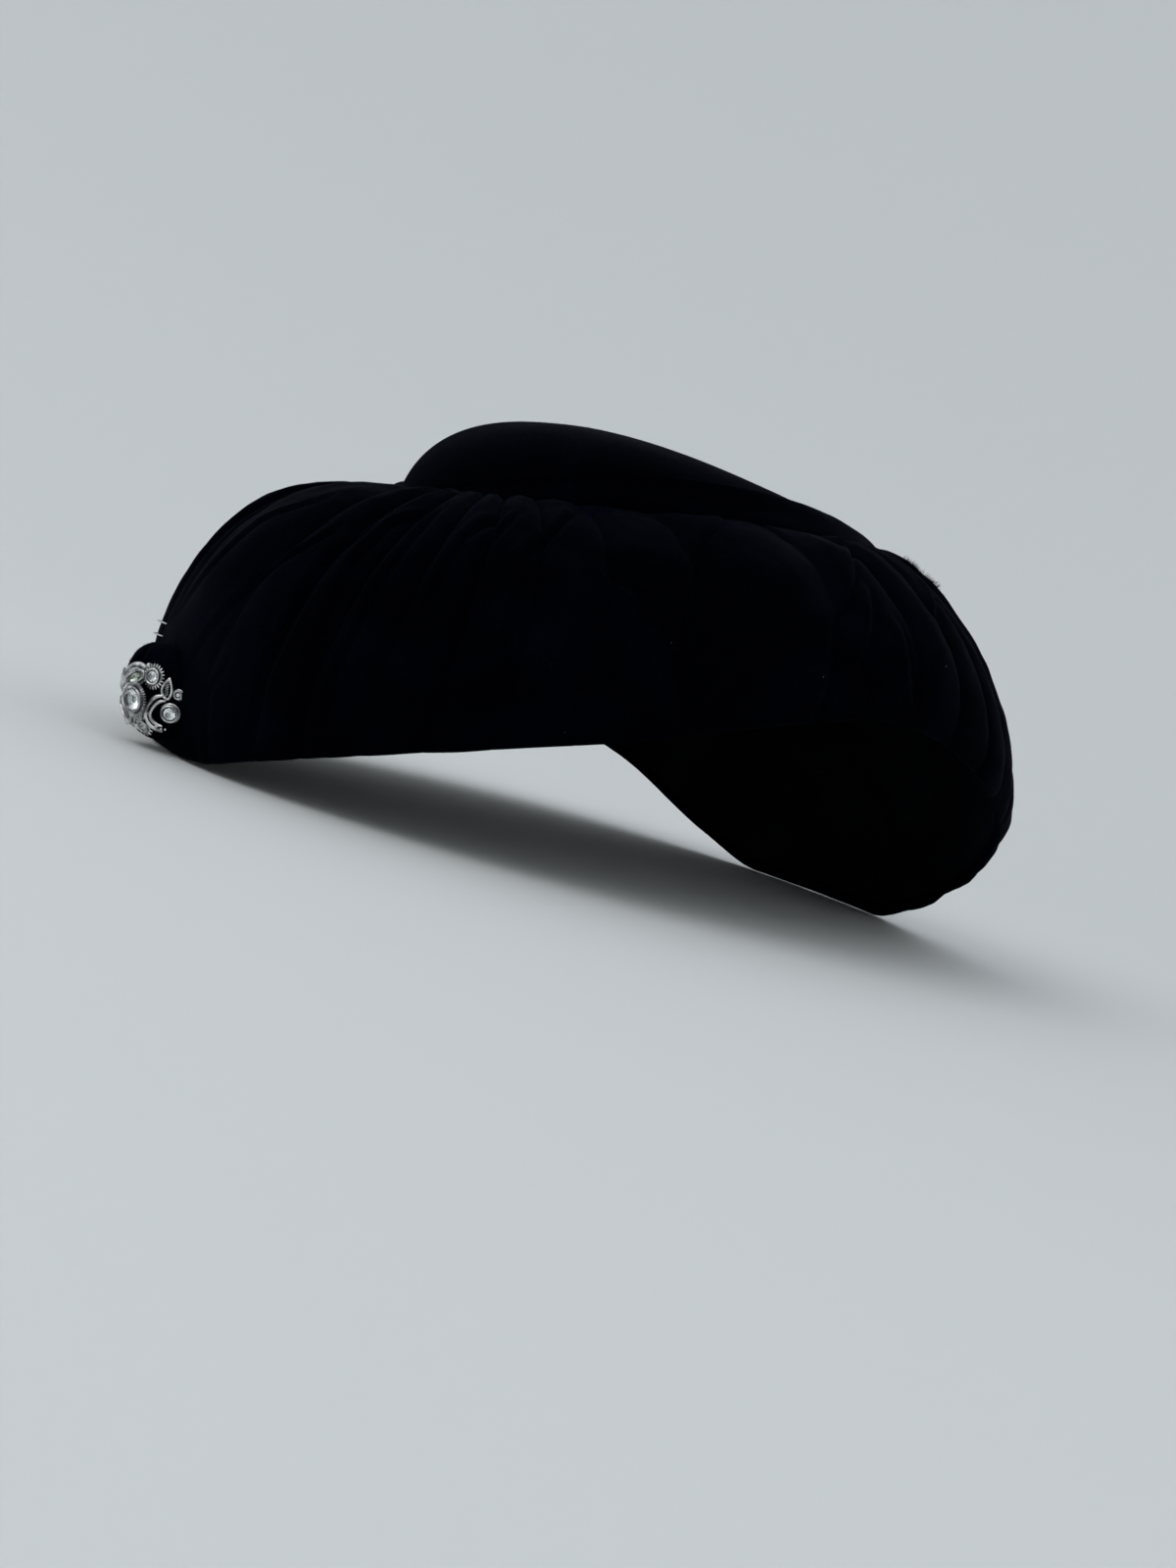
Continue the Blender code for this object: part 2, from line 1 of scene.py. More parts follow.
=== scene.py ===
# %% [markdown]
# Black velvet cocktail hat
#
# This lesson dresses a plain model of a hat. The model gives the sizes: a crown, a band round its foot,
# a wide brim, a lining, a knot of velvet and a brooch. Each cell below makes one of them as the
# milliner made it, from cloth, thread, wire and stones, and hangs it on the model's frame.

# %% Frame of the model
import json
import math
import random

import bmesh
import bpy
import numpy as np
from mathutils import Matrix, Vector, noise

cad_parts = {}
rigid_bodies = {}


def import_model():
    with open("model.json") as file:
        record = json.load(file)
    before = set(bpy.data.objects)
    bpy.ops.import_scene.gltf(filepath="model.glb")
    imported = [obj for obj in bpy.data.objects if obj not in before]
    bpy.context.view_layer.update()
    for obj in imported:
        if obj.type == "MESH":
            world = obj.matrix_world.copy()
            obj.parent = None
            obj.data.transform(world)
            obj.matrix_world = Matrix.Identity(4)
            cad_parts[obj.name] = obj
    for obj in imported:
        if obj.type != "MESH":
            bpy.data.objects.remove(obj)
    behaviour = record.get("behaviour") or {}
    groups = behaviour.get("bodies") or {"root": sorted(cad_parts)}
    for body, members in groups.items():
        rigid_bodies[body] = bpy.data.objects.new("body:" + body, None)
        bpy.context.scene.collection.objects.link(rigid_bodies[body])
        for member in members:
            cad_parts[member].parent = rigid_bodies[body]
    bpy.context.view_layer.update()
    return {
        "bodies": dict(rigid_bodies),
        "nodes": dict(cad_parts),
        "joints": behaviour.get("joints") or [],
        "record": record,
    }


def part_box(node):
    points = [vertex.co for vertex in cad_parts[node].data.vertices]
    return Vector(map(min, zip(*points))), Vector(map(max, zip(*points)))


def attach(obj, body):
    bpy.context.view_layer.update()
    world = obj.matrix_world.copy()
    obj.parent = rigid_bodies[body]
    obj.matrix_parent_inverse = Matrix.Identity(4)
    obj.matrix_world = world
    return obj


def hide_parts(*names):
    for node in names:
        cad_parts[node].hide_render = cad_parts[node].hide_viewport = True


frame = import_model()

print("pieces of the model:", sorted(frame["nodes"]))

# %% [markdown]
# Sizes and round curves
#
# A hat is drawn as rings round one upright line, so every size belongs to an angle: 0 is the middle of the back,
# 90 the wearer's left and 180 the front. A table holds a few angles with their values, and a smooth closed
# curve runs through them. Typing hundreds of points would work too, but nobody could change them later.

# %% Curve through a table of angles
def round_table(table, column, angles):
    rows = np.array(table, float)
    knots = np.concatenate([rows[:, 0] - 360, rows[:, 0], rows[:, 0] + 360])
    values = np.tile(rows[:, column], 3)
    slopes = np.diff(values) / np.diff(knots)
    before, after = slopes[:-1], slopes[1:]
    turning = before * after <= 0
    inner = np.where(turning, 0, 2 * before * after / np.where(turning, 1, before + after))
    tangents = np.concatenate([[0], inner, [0]])
    wrapped = (np.asarray(angles, float) + 180) % 360 - 180
    k = np.clip(np.searchsorted(knots, wrapped, side="right") - 1, 0, len(knots) - 2)
    step = knots[k + 1] - knots[k]
    s = (wrapped - knots[k]) / step
    return ((2 * s**3 - 3 * s**2 + 1) * values[k] + (s**3 - 2 * s**2 + s) * step * tangents[k]
            + (3 * s**2 - 2 * s**3) * values[k + 1] + (s**3 - s**2) * step * tangents[k + 1])


# %% Foot of the gathers and rim of the brim
FOOT_HALF_LENGTH, FOOT_HALF_WIDTH = 0.075, 0.0634
FOOT_FORWARD, FOOT_HEIGHT = 0.0042, 0.0966
FOOT_RISE_TO_BACK, FOOT_RISE_TO_LEFT, FOOT_SIDE_LIFT = 0.164, 0.093, 0.002
RIM_FRONT, RIM_BACK, RIM_HALF_WIDTH, RIM_EGG, SIDE_ARCH = 0.1252, 0.1318, 0.105, 0.05, 0.0632
BRIM_WALL, SEAM = 0.0026, 0.0024
# Height of the rim above the floor: angle, share of the side arch
RIM_RISE = (
    (-165, 0.00), (-150, 0.06), (-125, 0.30), (-80, 0.56), (-60, 0.40), (-42, 0.12), (-30, 0.00),
    (-5, 0.00), (4, 0.09), (15, 0.26), (30, 0.51), (49, 0.78), (78, 1.00), (93, 0.87), (111, 0.63),
    (137, 0.32), (147, 0.21), (159, 0.09), (168, 0.015), (176, 0.00),
)

low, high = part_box("crown")
MIDDLE = np.array([(low.x + high.x) / 2, (low.y + high.y) / 2 + FOOT_FORWARD, 0.0])


def oval(angles, front, back, half_width, egg=0.0):
    turn = np.radians(angles)
    x = half_width * np.sin(turn) * (1 + egg * np.cos(turn))
    y = np.where(np.cos(turn) > 0, back, front) * np.cos(turn)
    return np.stack([x, y], -1)


def foot_ring(angles, grow=0.0):
    flat = oval(angles, FOOT_HALF_LENGTH + grow, FOOT_HALF_LENGTH + grow, FOOT_HALF_WIDTH + grow)
    flat[..., 1] -= FOOT_FORWARD
    height = (FOOT_HEIGHT + FOOT_RISE_TO_BACK * flat[..., 1] + FOOT_RISE_TO_LEFT * flat[..., 0]
              + FOOT_SIDE_LIFT * np.sin(np.radians(angles))**2)
    return np.concatenate([flat, height[..., None]], -1) + MIDDLE


def rim_ring(angles):
    flat = oval(angles, RIM_FRONT, RIM_BACK, RIM_HALF_WIDTH, RIM_EGG)
    height = SIDE_ARCH * round_table(RIM_RISE, 1, angles)
    return np.concatenate([flat, height[..., None]], -1) + MIDDLE


print("middle of the hat:", MIDDLE.round(4), "foot at the back:", foot_ring(np.array([0.0])).round(4))

# %% [markdown]
# The fall of the brim
#
# From the crown the cloth swells over a shoulder, then falls to the rim. Each fall line is one curve with
# four handles: foot, shoulder, fall and rim. The same four handles shape the front, which is full, and the
# back, which drops almost straight, so the table gives each handle's share for a few angles.

# %% Fall lines
SHOULDER, BULGE, FOOT_LEAN = 0.0047, 0.0187, 22.0
# angle, share of the shoulder, its reach over the brim's width, start of the fall, share of the bulge
BRIM_SECTIONS = (
    (-180, 1.00, 0.77, 0.52, 1.00),
    (-90, 0.33, 0.66, 0.50, 0.34),
    (-30, 0.00, 0.40, 0.26, 0.36),
    (0, 0.00, 0.40, 0.28, 0.40),
    (30, 0.00, 0.37, 0.20, 0.55),
    (90, 0.42, 0.62, 0.44, 0.37),
)


def foot_angles(angles):
    turn = np.radians(angles)
    return angles + FOOT_LEAN * np.sin(turn) * (1 - np.cos(turn)) / 2


def brim_point(angles, down):
    angles = np.asarray(angles, float)
    foot, rim = foot_ring(foot_angles(angles)), rim_ring(angles)
    out = (rim - foot) * (1, 1, 0)
    width = np.linalg.norm(out, axis=-1, keepdims=True)
    out = out / width
    tall = (foot - rim)[..., 2:3] * (0, 0, 1)
    share = [round_table(BRIM_SECTIONS, column, angles)[..., None] for column in range(5)]
    shoulder = foot + out * width * share[2] + np.array((0, 0, SHOULDER)) * share[1]
    fall = rim + tall * share[3] + out * BULGE * share[4]
    t = np.broadcast_to(np.asarray(down, float), angles.shape)[..., None]
    return (1 - t)**3 * foot + 3 * (1 - t)**2 * t * shoulder + 3 * (1 - t) * t**2 * fall + t**3 * rim


def brim_normal(angles, down):
    angles = np.asarray(angles, float)
    down = np.broadcast_to(np.asarray(down, float), angles.shape)
    along = brim_point(angles, np.clip(down + 0.01, 0, 1)) - brim_point(angles, np.clip(down - 0.01, 0, 1))
    around = brim_point(angles + 1, down) - brim_point(angles - 1, down)
    normal = np.cross(around, along)
    return normal / np.linalg.norm(normal, axis=-1, keepdims=True)


print("front of the brim, half way down:", brim_point(np.array([180.0]), 0.5).round(4))

# %% [markdown]
# Seeing it as the photograph does
#
# The hat was seen from its wearer's left and a little from the front, with the picture held askew, so the
# camera turns about its own line of sight by the same amount. A long lens keeps the proportions true.
# The point it looks at is given by its place in a picture of 1200 by 1600 dots.

# %% Camera
PICTURE = (1200, 1600)
FOCAL_DOTS = 2000
AZIMUTH, ELEVATION, ROLL = math.radians(59.3), math.radians(4.1), math.radians(16.9)
DISTANCE = FOCAL_DOTS / 3421
LOOK_AT, LOOK_AT_DOTS = Vector((0, 0, 0.031)) + Vector(MIDDLE), (600, 760)

back = Vector((math.sin(AZIMUTH) * math.cos(ELEVATION), -math.cos(AZIMUTH) * math.cos(ELEVATION),
               math.sin(ELEVATION)))
level_right = Vector((math.cos(AZIMUTH), math.sin(AZIMUTH), 0))
level_up = back.cross(level_right)
right = math.cos(ROLL) * level_right + math.sin(ROLL) * level_up
up = math.cos(ROLL) * level_up - math.sin(ROLL) * level_right
sideways = (LOOK_AT_DOTS[0] - PICTURE[0] / 2) / FOCAL_DOTS * DISTANCE
upwards = -(LOOK_AT_DOTS[1] - PICTURE[1] / 2) / FOCAL_DOTS * DISTANCE
camera_data = bpy.data.cameras.new("camera")
camera_data.lens = 36 * FOCAL_DOTS / PICTURE[1]
camera_data.clip_start = 0.01
camera = bpy.data.objects.new("camera", camera_data)
camera.matrix_world = Matrix.Translation(LOOK_AT + back * DISTANCE - right * sideways - up * upwards) @ Matrix(
    (right, up, back)).transposed().to_4x4()
bpy.context.scene.collection.objects.link(camera)
bpy.context.scene.camera = camera
print("camera at", [round(value, 3) for value in camera.matrix_world.translation])

# %% [markdown]
# Floor, sweep and light
#
# A photographer's sweep has no line between floor and wall. Here it is a disc whose outer rings rise like
# the side of a bowl, so that the askew camera shows no slanting horizon. Velvet needs broad, soft light:
# a pale sky all round, a large panel over the front of the hat, and a smaller one for sparks in the stones.

# %% Sweep
def new_piece(name, mesh, material=None):
    data = bpy.data.meshes.new(name)
    mesh.to_mesh(data)
    mesh.free()
    piece = bpy.data.objects.new(name, data)
    bpy.context.scene.collection.objects.link(piece)
    data.shade_smooth()
    if material:
        data.materials.append(material)
    return piece


def plain_material(name, colour, roughness, metallic=0.0):
    material = bpy.data.materials.new(name)
    material.use_nodes = True
    shader = material.node_tree.nodes["Principled BSDF"]
    shader.inputs["Base Color"].default_value = (*colour, 1)
    shader.inputs["Roughness"].default_value = roughness
    shader.inputs["Metallic"].default_value = metallic
    return material


FLAT_REACH, BOWL_REACH, BOWL_RISE = 0.5, 3.2, 3.0
sweep_mesh = bmesh.new()
bmesh.ops.create_grid(sweep_mesh, x_segments=96, y_segments=48, size=0.5)
for vert in sweep_mesh.verts:
    turn, reach = vert.co.x * 2 * math.pi, (vert.co.y + 0.5) * BOWL_REACH
    rise = BOWL_RISE * max(0, (reach - FLAT_REACH) / (BOWL_REACH - FLAT_REACH)) ** 2
    vert.co = (reach * math.cos(turn), reach * math.sin(turn), rise)
bmesh.ops.remove_doubles(sweep_mesh, verts=sweep_mesh.verts, dist=0.0005)
bmesh.ops.recalc_face_normals(sweep_mesh, faces=sweep_mesh.faces)
sweep = new_piece("sweep", sweep_mesh, plain_material("pale_paper", (0.70, 0.70, 0.685), 0.9))
print("sweep:", len(sweep.data.polygons), "faces")

# %% Light
def panel(name, place, size, power, colour):
    light = bpy.data.lights.new(name, "AREA")
    light.shape = "RECTANGLE"
    light.size, light.size_y = size
    light.energy = power
    light.color = colour
    lamp = bpy.data.objects.new(name, light)
    lamp.location = place
    lamp.rotation_euler = (LOOK_AT - Vector(place)).to_track_quat("-Z", "Y").to_euler()
    bpy.context.scene.collection.objects.link(lamp)
    return lamp


sky = bpy.data.worlds.new("sky")
sky.use_nodes = True
sky.node_tree.nodes["Background"].inputs["Color"].default_value = (0.86, 0.93, 1.0, 1)
sky.node_tree.nodes["Background"].inputs["Strength"].default_value = 0.90
bpy.context.scene.world = sky
panel("window", (0.1, -1.5, 1.3), (1.2, 1.0), 9, (0.95, 0.98, 1.0))
panel("spark", (1.2, -1.3, 0.25), (0.3, 0.3), 3, (1.0, 1.0, 1.0))
bpy.context.scene.view_settings.view_transform = "Standard"

# %% [markdown]
# Velvet
#
# Velvet is a field of upright threads. It swallows the light that meets it squarely and shines a little
# where we look across its tips, so it has almost no gloss but a sheen. Brushed patches, the nap, change its
# tone, and the pile shows as a fine grain. Nap and grain are wanted on every velvet piece, in different
# sizes, so they are a group of nodes with its own inputs, made once.

# %% Node group: pile
def group_of_nodes(name, inputs, outputs):
    group = bpy.data.node_groups.new(name, "ShaderNodeTree")
    for label, kind, value in inputs:
        socket = group.interface.new_socket(label, in_out="INPUT", socket_type=kind)
        socket.default_value = value
    for label, kind in outputs:
        group.interface.new_socket(label, in_out="OUTPUT", socket_type=kind)
    start, end = group.nodes.new("NodeGroupInput"), group.nodes.new("NodeGroupOutput")
    return group, start, end


def link(tree, pairs):
    for source, target in pairs:
        tree.links.new(source, target)


def node(tree, kind, values=(), **settings):
    made = tree.nodes.new("ShaderNode" + kind)
    for label, value in settings.items():
        setattr(made, label, value)
    for socket, value in values:
        made.inputs[socket].default_value = value
    return made


COLOUR, NUMBER, VECTOR = "NodeSocketColor", "NodeSocketFloat", "NodeSocketVector"
pile, start, end = group_of_nodes("pile", [
    ("Vector", VECTOR, (0, 0, 0)), ("Dark", COLOUR, (0, 0, 0, 1)), ("Light", COLOUR, (1, 1, 1, 1)),
    ("Nap Scale", NUMBER, 30.0), ("Grain Scale", NUMBER, 2200.0)],
    [("Color", COLOUR), ("Roughness", NUMBER), ("Height", NUMBER)])
nap = node(pile, "TexNoise", [("Detail", 4), ("Distortion", 0.8)])
grain = node(pile, "TexNoise", [("Detail", 2)])
contrast = node(pile, "MapRange", [("From Min", 0.42), ("From Max", 0.68)])
tone = node(pile, "Mix", data_type="RGBA")
dulness = node(pile, "MapRange", [("To Min", 0.95), ("To Max", 0.75)])
mixed = node(pile, "Math", [(1, 0.35)], operation="MULTIPLY_ADD")
link(pile, [
    (start.outputs["Vector"], nap.inputs["Vector"]), (start.outputs["Nap Scale"], nap.inputs["Scale"]),
    (start.outputs["Vector"], grain.inputs["Vector"]), (start.outputs["Grain Scale"], grain.inputs["Scale"]),
    (nap.outputs["Fac"], contrast.inputs["Value"]), (contrast.outputs["Result"], tone.inputs["Factor"]),
    (start.outputs["Dark"], tone.inputs["A"]), (start.outputs["Light"], tone.inputs["B"]),
    (contrast.outputs["Result"], dulness.inputs["Value"]),
    (contrast.outputs["Result"], mixed.inputs[0]), (grain.outputs["Fac"], mixed.inputs[2]),
    (tone.outputs["Result"], end.inputs["Color"]), (dulness.outputs["Result"], end.inputs["Roughness"]),
    (mixed.outputs["Value"], end.inputs["Height"])])
print("pile group:", len(pile.nodes), "nodes")

# %% Velvet material
def cloth_material(name, dark, light, sheen, grain_depth, nap_scale=30.0, grain_scale=2200.0):
    material = plain_material(name, dark, 0.9)
    tree = material.node_tree
    shader = tree.nodes["Principled BSDF"]
    shader.inputs["Specular IOR Level"].default_value = 0.012
    shader.inputs["Sheen Weight"].default_value = sheen
    shader.inputs["Sheen Roughness"].default_value = 0.30
    shader.inputs["Sheen Tint"].default_value = (0.35, 0.50, 1.0, 1)
    place = node(tree, "TexCoord")
    effect = node(tree, "Group", node_tree=pile)
    for label, value in (("Dark", (*dark, 1)), ("Light", (*light, 1)), ("Nap Scale", nap_scale),
                         ("Grain Scale", grain_scale)):
        effect.inputs[label].default_value = value
    bump = node(tree, "Bump", [("Strength", 0.7), ("Distance", grain_depth)])
    link(tree, [
        (place.outputs["Object"], effect.inputs["Vector"]),
        (effect.outputs["Color"], shader.inputs["Base Color"]),
        (effect.outputs["Roughness"], shader.inputs["Roughness"]),
        (effect.outputs["Height"], bump.inputs["Height"]),
        (bump.outputs["Normal"], shader.inputs["Normal"])])
    return material


VELVET = cloth_material(
    "black_velvet_pile", (0.0001, 0.0002, 0.0012), (0.0003, 0.0006, 0.0028), 0.014, 0.00025)
# The facing is the same black velvet made lighter: painted light that lifts the shade inside the hat.
FACING_PAINTED_LIGHT = cloth_material(
    "black_velvet_facing_painted_light", (0.0022, 0.0025, 0.0038), (0.0050, 0.0056, 0.0080), 0.04, 0.00015)
print("velvet materials:", VELVET.name, FACING_PAINTED_LIGHT.name)

# %% [markdown]
# Gathers
#
# The brim is one strip of velvet, pulled up on a thread at the crown. It stands up in puffs between creases
# that run forwards as they fall, and fade towards the rim. A cloth simulation would gather it at random.
# Here each crease has its own place, so the columns of a grid are laid along the creases, and each column's
# height comes from its place between two of them.

# %% Creases
# angle at the rim, swing at the foot in degrees, depth of the fold before it
CREASES = (
    (4, 0, 0.8), (14, 0, 0.9), (24, -1, 0.8), (33, -2, 1.0), (42, -3, 0.9), (51, -4, 0.8),
    (60, -5, 0.9), (69, -6, 0.9), (78, -7, 0.8), (90, -8, 0.7), (107, -3, 0.6), (117, 0, 0.8),
    (126, 0, 0.9), (134, -1, 0.9), (142, -5, 0.9), (150, -8, 1.0), (158, -11, 1.0), (168, -14, 0.9),
)
FOLD_DEPTH, FOLD_SINK = 0.0034, 0.4
FOLD_FADE = ((0.0, 0.35), (0.12, 0.85), (0.3, 1.0), (0.6, 0.75), (0.85, 0.45), (1.0, 0.25))


def all_creases():
    left, right = list(CREASES), []
    for near, far in zip(left, left[1:] + [(360 - left[-1][0] - 4, 14, 0.9)]):
        right.append((-(near[0] + far[0]) / 2, -(near[1] + min(far[1], 0)) / 2, (near[2] + far[2]) / 2))
    ring = sorted(left + right)
    return np.array(ring + [(ring[0][0] + 360, ring[0][1], ring[0][2])])


creases = all_creases()
GATHERS = len(creases) - 1
print("gathers round the brim:", GATHERS)

# %% Fine creases seen on the wearer's left: angle and share of the way down, along each
FINE_CREASES = (
    ((167.5, 0.33), (175, 0.45), (178, 0.58), (181, 0.71), (187, 0.78)),
    ((157, 0.46), (165, 0.61), (169.5, 0.73), (173, 0.86)),
    ((151.5, 0.42), (155, 0.53), (155.5, 0.68), (156.5, 0.81), (157, 0.97)),
    ((143.5, 0.28), (148.5, 0.4), (150, 0.55), (150.5, 0.72), (150, 0.97)),
    ((142.5, 0.29), (145.5, 0.62), (147, 0.82), (146.5, 0.97)),
    ((132, 0.27), (137, 0.43), (138.5, 0.66)),
    ((129.5, 0.27), (133.5, 0.42), (133.5, 0.79), (133, 0.93)),
    ((120, 0.18), (128, 0.45), (128, 0.73), (124.5, 0.92)),
    ((116.5, 0.33), (117.5, 0.47), (113.5, 0.53), (111, 0.92)),
    ((90.5, 0.04), (102, 0.27), (107.5, 0.51), (109, 0.76), (106.5, 0.92)),
    ((65, 0.03), (77, 0.26), (89, 0.61), (90, 0.97)),
    ((80, 0.43), (86, 0.75), (84, 0.94)),
    ((78, 0.57), (78.5, 0.76), (76.5, 0.92)),
    ((58, 0.19), (58.5, 0.29), (67, 0.49)),
    ((163.5, 0.82), (166.5, 0.86), (165.5, 0.97)),
)
FINE_DEPTH, FINE_WIDTH = 0.0014, 0.65
chance = random.Random(7)
unseen = []
for index in range(26):
    angle = -172 + index * 8.6 + chance.uniform(-3, 3)
    first, last = chance.uniform(0.05, 0.35), chance.uniform(0.55, 0.95)
    lean = chance.uniform(2, 9) * (1 if angle < -10 else -1)
    unseen.append(((angle + lean, first), (angle + lean * 0.2, (first + last) / 2), (angle, last)))
print("fine creases:", len(FINE_CREASES), "seen and", len(unseen), "on the other sides")

# %% Height of the cloth over the plain brim
def fine_relief(angles, down):
    relief = np.zeros_like(angles)
    for line in list(FINE_CREASES) + unseen:
        at, along = zip(*line)
        place = np.interp(down, along, at)
        off = (angles - place + 180) % 360 - 180
        ends = np.clip((down - along[0] + 0.06) / 0.12, 0, 1) * np.clip((along[-1] + 0.06 - down) / 0.12, 0, 1)
        valley = np.exp(-np.abs(off / FINE_WIDTH) ** 1.3)
        ridge = 0.45 * np.exp(-((off - 2.2 * FINE_WIDTH) / (1.6 * FINE_WIDTH)) ** 2)
        relief += FINE_DEPTH * ends * (ridge - valley)
    return relief


def gather_relief(place, down):
    """Height of the puffs: place counts the gathers, whole numbers are the creases."""
    k = np.clip(np.floor(place).astype(int), 0, GATHERS - 1)
    f = place - k
    fade_at, fade = zip(*FOLD_FADE)
    puff = np.sin(math.pi * f) ** 0.62
    small = 0.16 * np.abs(np.sin(3 * math.pi * f + k)) * np.clip(1 - down / 0.35, 0, 1)
    return FOLD_DEPTH * np.interp(down, fade_at, fade) * ((puff - small) * creases[k, 2] - FOLD_SINK)


print("puff in the middle of a gather:", float(gather_relief(np.array([3.5]), np.array([0.3]))[0]))

# %% [markdown]
# The brim's cloth
#
# The strip starts tucked under the band, runs over the puffs to the rim, rolls round the rim's edge and ends
# under the lining inside. That is one surface from edge to edge, so it starts as one flat grid whose rows
# are given a path: tuck, outside, roll, inside.

# %% Brim
COLUMNS_A_GATHER, BRIM_ROWS = 24, 104
TUCK_END, ROLL_START, ROLL_END = 0.03, 0.90, 0.955
PRESS_AT, PRESS_DOWN, PRESS_ANGLE, PRESS_REACH = 179.4, 0.903, 15.0, 0.26
EDGE_SHARE, TURN_IN, TUCK_IN, TUCK_DOWN, FLOOR_PLAY = 0.014, 0.07, 0.0022, 0.0018, 0.0001


def wrinkle(points, scale, depth, seed):
    shift = Vector((seed, seed * 0.7, -seed))
    return np.array([depth * noise.noise(Vector(point) * scale + shift) for point in points])


def brim_cloth():
    mesh = bmesh.new()
    bmesh.ops.create_grid(mesh, x_segments=GATHERS * COLUMNS_A_GATHER, y_segments=BRIM_ROWS, size=0.5)
    data = bpy.data.meshes.new("grid")
    mesh.to_mesh(data)
    flat = np.zeros(len(data.vertices) * 3)
    data.vertices.foreach_get("co", flat)
    flat = flat.reshape(-1, 3) + 0.5
    place, row = flat[:, 0] * GATHERS, flat[:, 1]
    k = np.clip(np.floor(place).astype(int), 0, GATHERS - 1)
    f = place - k
    at = creases[k, 0] + (creases[k + 1, 0] - creases[k, 0]) * f
    swing = creases[k, 1] + (creases[k + 1, 1] - creases[k, 1]) * f
    down = np.clip((row - TUCK_END) / (ROLL_START - TUCK_END), 0, 1)
    angles = at + swing * (1 - down) ** 1.5
    lift = gather_relief(place, down) + fine_relief(angles, down)
    off = (angles - PRESS_AT + 180) % 360 - 180
    pressed = np.exp(-(off / PRESS_ANGLE) ** 2 - ((down - PRESS_DOWN + PRESS_REACH / 3) / PRESS_REACH) ** 2)
    lift *= 1 - pressed
    roll = np.clip((row - ROLL_START) / (ROLL_END - ROLL_START), 0, 1)
    inside = np.clip((row - ROLL_END) / (1 - ROLL_END), 0, 1)
    reach = (lift + BRIM_WALL) / 2
    offset = (lift - BRIM_WALL) / 2 + reach * np.cos(math.pi * roll)
    on_roll = (roll > 0) | (inside > 0)
    t = np.where(on_roll, 1 - EDGE_SHARE * (1 - np.sin(math.pi * roll)) - TURN_IN * inside,
                 down * (1 - EDGE_SHARE))
    normal = brim_normal(angles, t)
    points = brim_point(angles, t)
    lift_noise = wrinkle(points, 55, 0.0009, 3.1) + wrinkle(points, 170, 0.0003, 8.2)
    points = points + normal * (offset + lift_noise * (1 - inside) * (1 - 0.7 * roll) * (1 - pressed))[:, None]
    # The strip's upper edge is turned in under the band
    tuck = np.clip(1 - row / TUCK_END, 0, 1)
    level = normal * (1, 1, 0)
    level /= np.linalg.norm(level, axis=1, keepdims=True)
    points = points - level * (tuck * TUCK_IN)[:, None] - np.array([0, 0, TUCK_DOWN]) * (tuck ** 1.5)[:, None]
    points[:, 2] = np.maximum(points[:, 2], FLOOR_PLAY)
    for vert, point in zip(mesh.verts, points):
        vert.co = point
    bmesh.ops.remove_doubles(mesh, verts=mesh.verts, dist=0.00002)
    bmesh.ops.recalc_face_normals(mesh, faces=mesh.faces)
    bpy.data.meshes.remove(data)
    return mesh


brim = new_piece("brim_cloth", brim_cloth(), VELVET)
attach(brim, "root")
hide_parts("brim")
print("brim cloth:", len(brim.data.polygons), "faces")

# %% [markdown]
# Crown
#
# The crown is a stiff oval cap with velvet pulled tight over it, so it is smooth. A sphere would be too round
# at the edge, so the dome follows a fuller curve, with an exponent from a table. Faint drag lines show how the
# cloth was stretched.

# %% Crown
CROWN_HEIGHT, CROWN_PEAK_FORWARD = 0.0251, 0.0148
BAND_HEIGHT, BAND_WALL = 0.009, 0.0016
CROWN_CURVE = ((-180, 2.33), (-120, 2.7), (-60, 2.2), (0, 1.72), (60, 2.03), (120, 2.72))
BAND_SHARE = ((-180, 0.30), (-120, 0.90), (-60, 0.50), (-20, 0.18), (20, 0.18), (60, 0.50), (120, 1.00))


def crown_point(angles, up, grow=0.0):
    angles = np.asarray(angles, float)
    edge = foot_ring(angles, grow - SEAM)
    edge[..., 2] -= BRIM_WALL
    curve = round_table(CROWN_CURVE, 1, angles)
    turn = np.clip(np.asarray(up, float), 0, 1) * math.pi / 2
    inwards, upwards = np.cos(turn) ** (2 / curve), np.sin(turn) ** (2 / curve)
    peak_y = -CROWN_PEAK_FORWARD
    peak_z = FOOT_HEIGHT + FOOT_RISE_TO_BACK * peak_y + CROWN_HEIGHT + grow
    x = MIDDLE[0] + (edge[..., 0] - MIDDLE[0]) * inwards
    y = peak_y + MIDDLE[1] + (edge[..., 1] - peak_y - MIDDLE[1]) * inwards
    z = edge[..., 2] + (peak_z - edge[..., 2]) * upwards
    return np.stack([x, y, z], -1)


def band_up(angles, share):
    """How far up the dome the band reaches at a share of its own height."""
    edge = crown_point(angles, 0.0)[..., 2]
    peak = crown_point(np.array([0.0]), 1.0)[0, 2]
    top = BRIM_WALL + BAND_HEIGHT * round_table(BAND_SHARE, 1, angles)
    curve = round_table(CROWN_CURVE, 1, angles)
    return 2 / math.pi * np.arcsin(np.clip(top * share / (peak - edge), 0, 1) ** (curve / 2))


def mapped_grid(name, columns, rows, shape, material):
    """Grid wrapped round the hat: shape gets angles and a row number from 0 to 1, and gives points."""
    mesh = bmesh.new()
    bmesh.ops.create_grid(mesh, x_segments=columns, y_segments=rows, size=0.5)
    flat = np.array([vert.co for vert in mesh.verts]) + 0.5
    for vert, point in zip(mesh.verts, shape(flat[:, 0] * 360 - 180, flat[:, 1])):
        vert.co = point
    bmesh.ops.remove_doubles(mesh, verts=mesh.verts, dist=0.00002)
    bmesh.ops.recalc_face_normals(mesh, faces=mesh.faces)
    return new_piece(name, mesh, material)


def crown_shape(angles, row):
    base = band_up(angles, 0.35)
    up = base + (1 - base) * row
    points = crown_point(angles, up)
    drag = wrinkle(points, 40, 0.0004, 5.5)
    points[:, 2] += drag * (1 - row)
    return points


